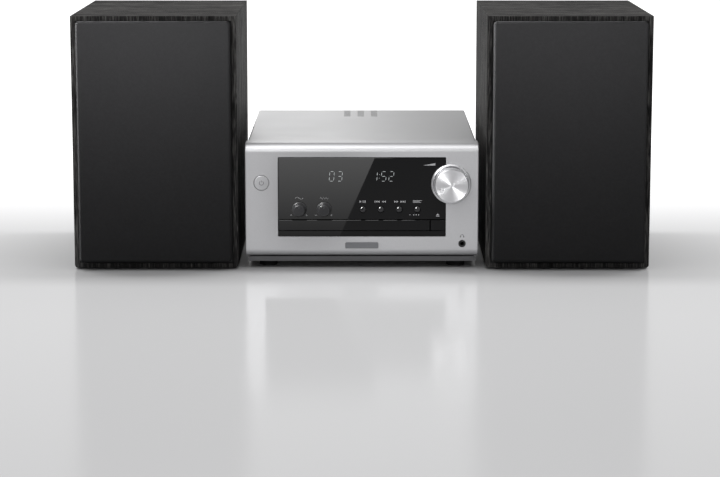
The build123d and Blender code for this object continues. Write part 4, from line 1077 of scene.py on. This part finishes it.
def studio_floor():
    """Pale lacquered table top with a painted glow in place of a bright cove: none near the pieces, rising
    towards the back.
    """
    made, tree, shader, place = start_finish("lacquered_table", "#d2d2d3", 0.16, Specular_IOR_Level=0.2)
    spot = add(tree, "ShaderNodeSeparateXYZ", {0: place})
    back = add(
        tree,
        "ShaderNodeMapRange",
        {"Value": spot.outputs["Y"], "From Min": -0.12, "From Max": 0.8, "To Min": 0.0, "To Max": 1.0},
        interpolation_type="SMOOTHSTEP",
    )
    # Painted light: the floor glows, from nothing in front of the pieces to full strength towards the back.
    shader.inputs["Emission Color"].default_value = linear("#ffffff")
    tree.links.new(back.outputs["Result"], shader.inputs["Emission Strength"])
    mesh = bpy.data.meshes.new("studio_floor")
    mesh.from_pydata([(-6, -4, 0), (6, -4, 0), (6, 7, 0), (-6, 7, 0)], [], [(0, 1, 2, 3)])
    mesh.materials.append(made)
    in_scene("studio_floor", mesh)


def only_for(light, names):
    """Lets a light reach the named pieces only, as a flag or a snoot does in a studio."""
    reached = bpy.data.collections.new(light.name + "_pieces")
    for name in names:
        reached.objects.link(bpy.data.objects[name])
    light.light_linking.receiver_collection = reached


def softbox(name, place, aim, size, radiance, names):
    """Rectangular studio light aimed at a point, for the named pieces only."""
    lamp = bpy.data.lights.new(name, "AREA")
    lamp.shape = "RECTANGLE"
    lamp.size, lamp.size_y = size
    lamp.energy = radiance * math.pi * size[0] * size[1]
    box = in_scene(name, lamp)
    box.location = place
    box.rotation_euler = (Vector(aim) - Vector(place)).to_track_quat("-Z", "Y").to_euler()
    box.visible_camera = False
    only_for(box, names)


def window_card():
    """Glowing card 0.1 m in front of the window, which only the pane's pieces see: its slanting right edge
    shows across the pane. Its corners lie in line with the camera's mirror image and places on the pane."""
    corners = []
    mirrored = Vector((CAMERA_PLACE.x, 2 * front_y - CAMERA_PLACE.y, CAMERA_PLACE.z))
    share = 0.1 / (mirrored.y - front_y)
    for x, z in ((-80, 103), (12.4, 103), (-22, 25), (-80, 25)):
        spot = Vector((x * MM, front_y, z * MM))
        corners.append(tuple(spot + (spot - mirrored) * share))
    mesh = bpy.data.meshes.new("window_card")
    mesh.from_pydata(corners, [], [(0, 1, 2, 3)])
    made = bpy.data.materials.new("card_glow")
    made.use_nodes = True
    tree = made.node_tree
    tree.nodes.remove(tree.nodes["Principled BSDF"])
    spot = add(tree, "ShaderNodeSeparateXYZ", {0: add(tree, "ShaderNodeTexCoord").outputs["Object"]})
    rise = add(
        tree,
        "ShaderNodeMapRange",
        {"Value": spot.outputs["Z"], "From Min": 0.01, "From Max": 0.09, "To Min": 0.9, "To Max": 4.6},
    )
    lamp = add(tree, "ShaderNodeEmission", {"Strength": rise.outputs["Result"]})
    tree.links.new(lamp.outputs[0], tree.nodes["Material Output"].inputs["Surface"])
    mesh.materials.append(made)
    card = in_scene("window_card", mesh)
    card.visible_camera = False
    card.visible_shadow = False
    card.visible_diffuse = False
    only_for(card, PANE_PIECES)


def camera():
    """Long lens in front of the unit, tilted down a little."""
    lens = bpy.data.cameras.new("camera")
    lens.sensor_width = 36.0
    lens.lens = 116.95
    eye = in_scene("camera", lens)
    eye.location = CAMERA_PLACE
    eye.rotation_euler = (math.radians(80.27), 0.0, 0.0)
    bpy.context.scene.camera = eye


scene = bpy.context.scene
solid_pieces = [piece.name for piece in scene.objects if piece.type == "MESH"]
studio_floor()
cabinets = [side + "_cabinet_dressed" for side in SIDES]
others = [name for name in solid_pieces if name not in cabinets]
small_caps = [name + "_dome" for name in SMALL_BUTTONS] + ["bass_knob_cap", "treble_knob_cap"]
on_front, on_knob, on_buttons = (0.0, -0.1, 0.1), (0.08, -0.14, 0.077), (0.0, -0.13, 0.054)
# Name, place, point aimed at, size, brightness, and the pieces that each light reaches.
for light in (
    ("key_softbox", (-0.75, -1.0, 1.35), on_front, (1.2, 0.9), 4.5, solid_pieces),
    ("fill_softbox", (1.1, -1.3, 0.9), (0.1, -0.1, 0.1), (0.9, 0.9), 1.4, others),
    ("cabinet_light", (0.0, 0.1, 1.6), (0.0, 0.0, 0.2), (1.4, 0.4), 8.0, cabinets),
    ("table_softbox", (-0.1, -0.4, 1.6), (-0.1, -0.4, 0.0), (3.4, 1.6), 0.8, ["studio_floor"]),
    ("table_light", (0.0, 0.14, 1.5), (0.0, -0.1, 0.0), (2.0, 0.3), 10.0, ["studio_floor"]),
    ("cover_softbox", (-1.4, 3.0, 0.9), (0.0, 0.0, 0.11), (3.2, 1.6), 1.3, SILVER_PIECES),
    ("front_softbox", (-1.1, -2.6, 0.95), on_front, (2.2, 0.8), 3.8, ["front_panel_dressed", "power_key"]),
    ("top_softbox", (-0.2, -0.45, 1.4), on_front, (2.0, 0.9), 1.6, ["front_panel_dressed", "volume_rim"]),
    ("edge_softbox", (-0.2, -0.3, 1.2), (0.0, -0.13, 0.06), (1.8, 0.4), 12.0, PANE_PIECES[:3]),
    ("knob_light_left", (-0.28, -1.04, 0.33), on_knob, (0.12, 0.12), 90.0, ["volume_cap", "volume_rim"]),
    ("knob_light_right", (0.53, -1.03, 0.17), on_knob, (0.09, 0.09), 32.0, ["volume_cap"]),
    ("button_light", (-0.7, -1.1, 0.9), on_buttons, (0.45, 0.45), 110.0, small_caps),
):
    softbox(*light)
for side, x, brightness in (("left", -0.186, 27.0), ("right", 0.186, 20.0)):
    cloth = [side + "_grille_sheet"]
    softbox(side + "_grille_light", (x, -0.35, 0.24), (x, -0.144, 0.38), (0.25, 0.1), brightness, cloth)
    beside = (x - 0.3, -0.135, 0.26)
    softbox(side + "_rim_light", beside, (x - 0.07, -0.14, 0.12), (0.06, 0.2), 170.0, cloth)
window_card()
camera()
scene.world = bpy.data.worlds.new("studio_air")
scene.world.use_nodes = True
air = scene.world.node_tree.nodes["Background"].inputs
air["Color"].default_value = linear("#ffffff")
air["Strength"].default_value = 0.42
scene.view_settings.view_transform = "Standard"
scene.cycles.use_denoising = True
scene.cycles.max_bounces = 8
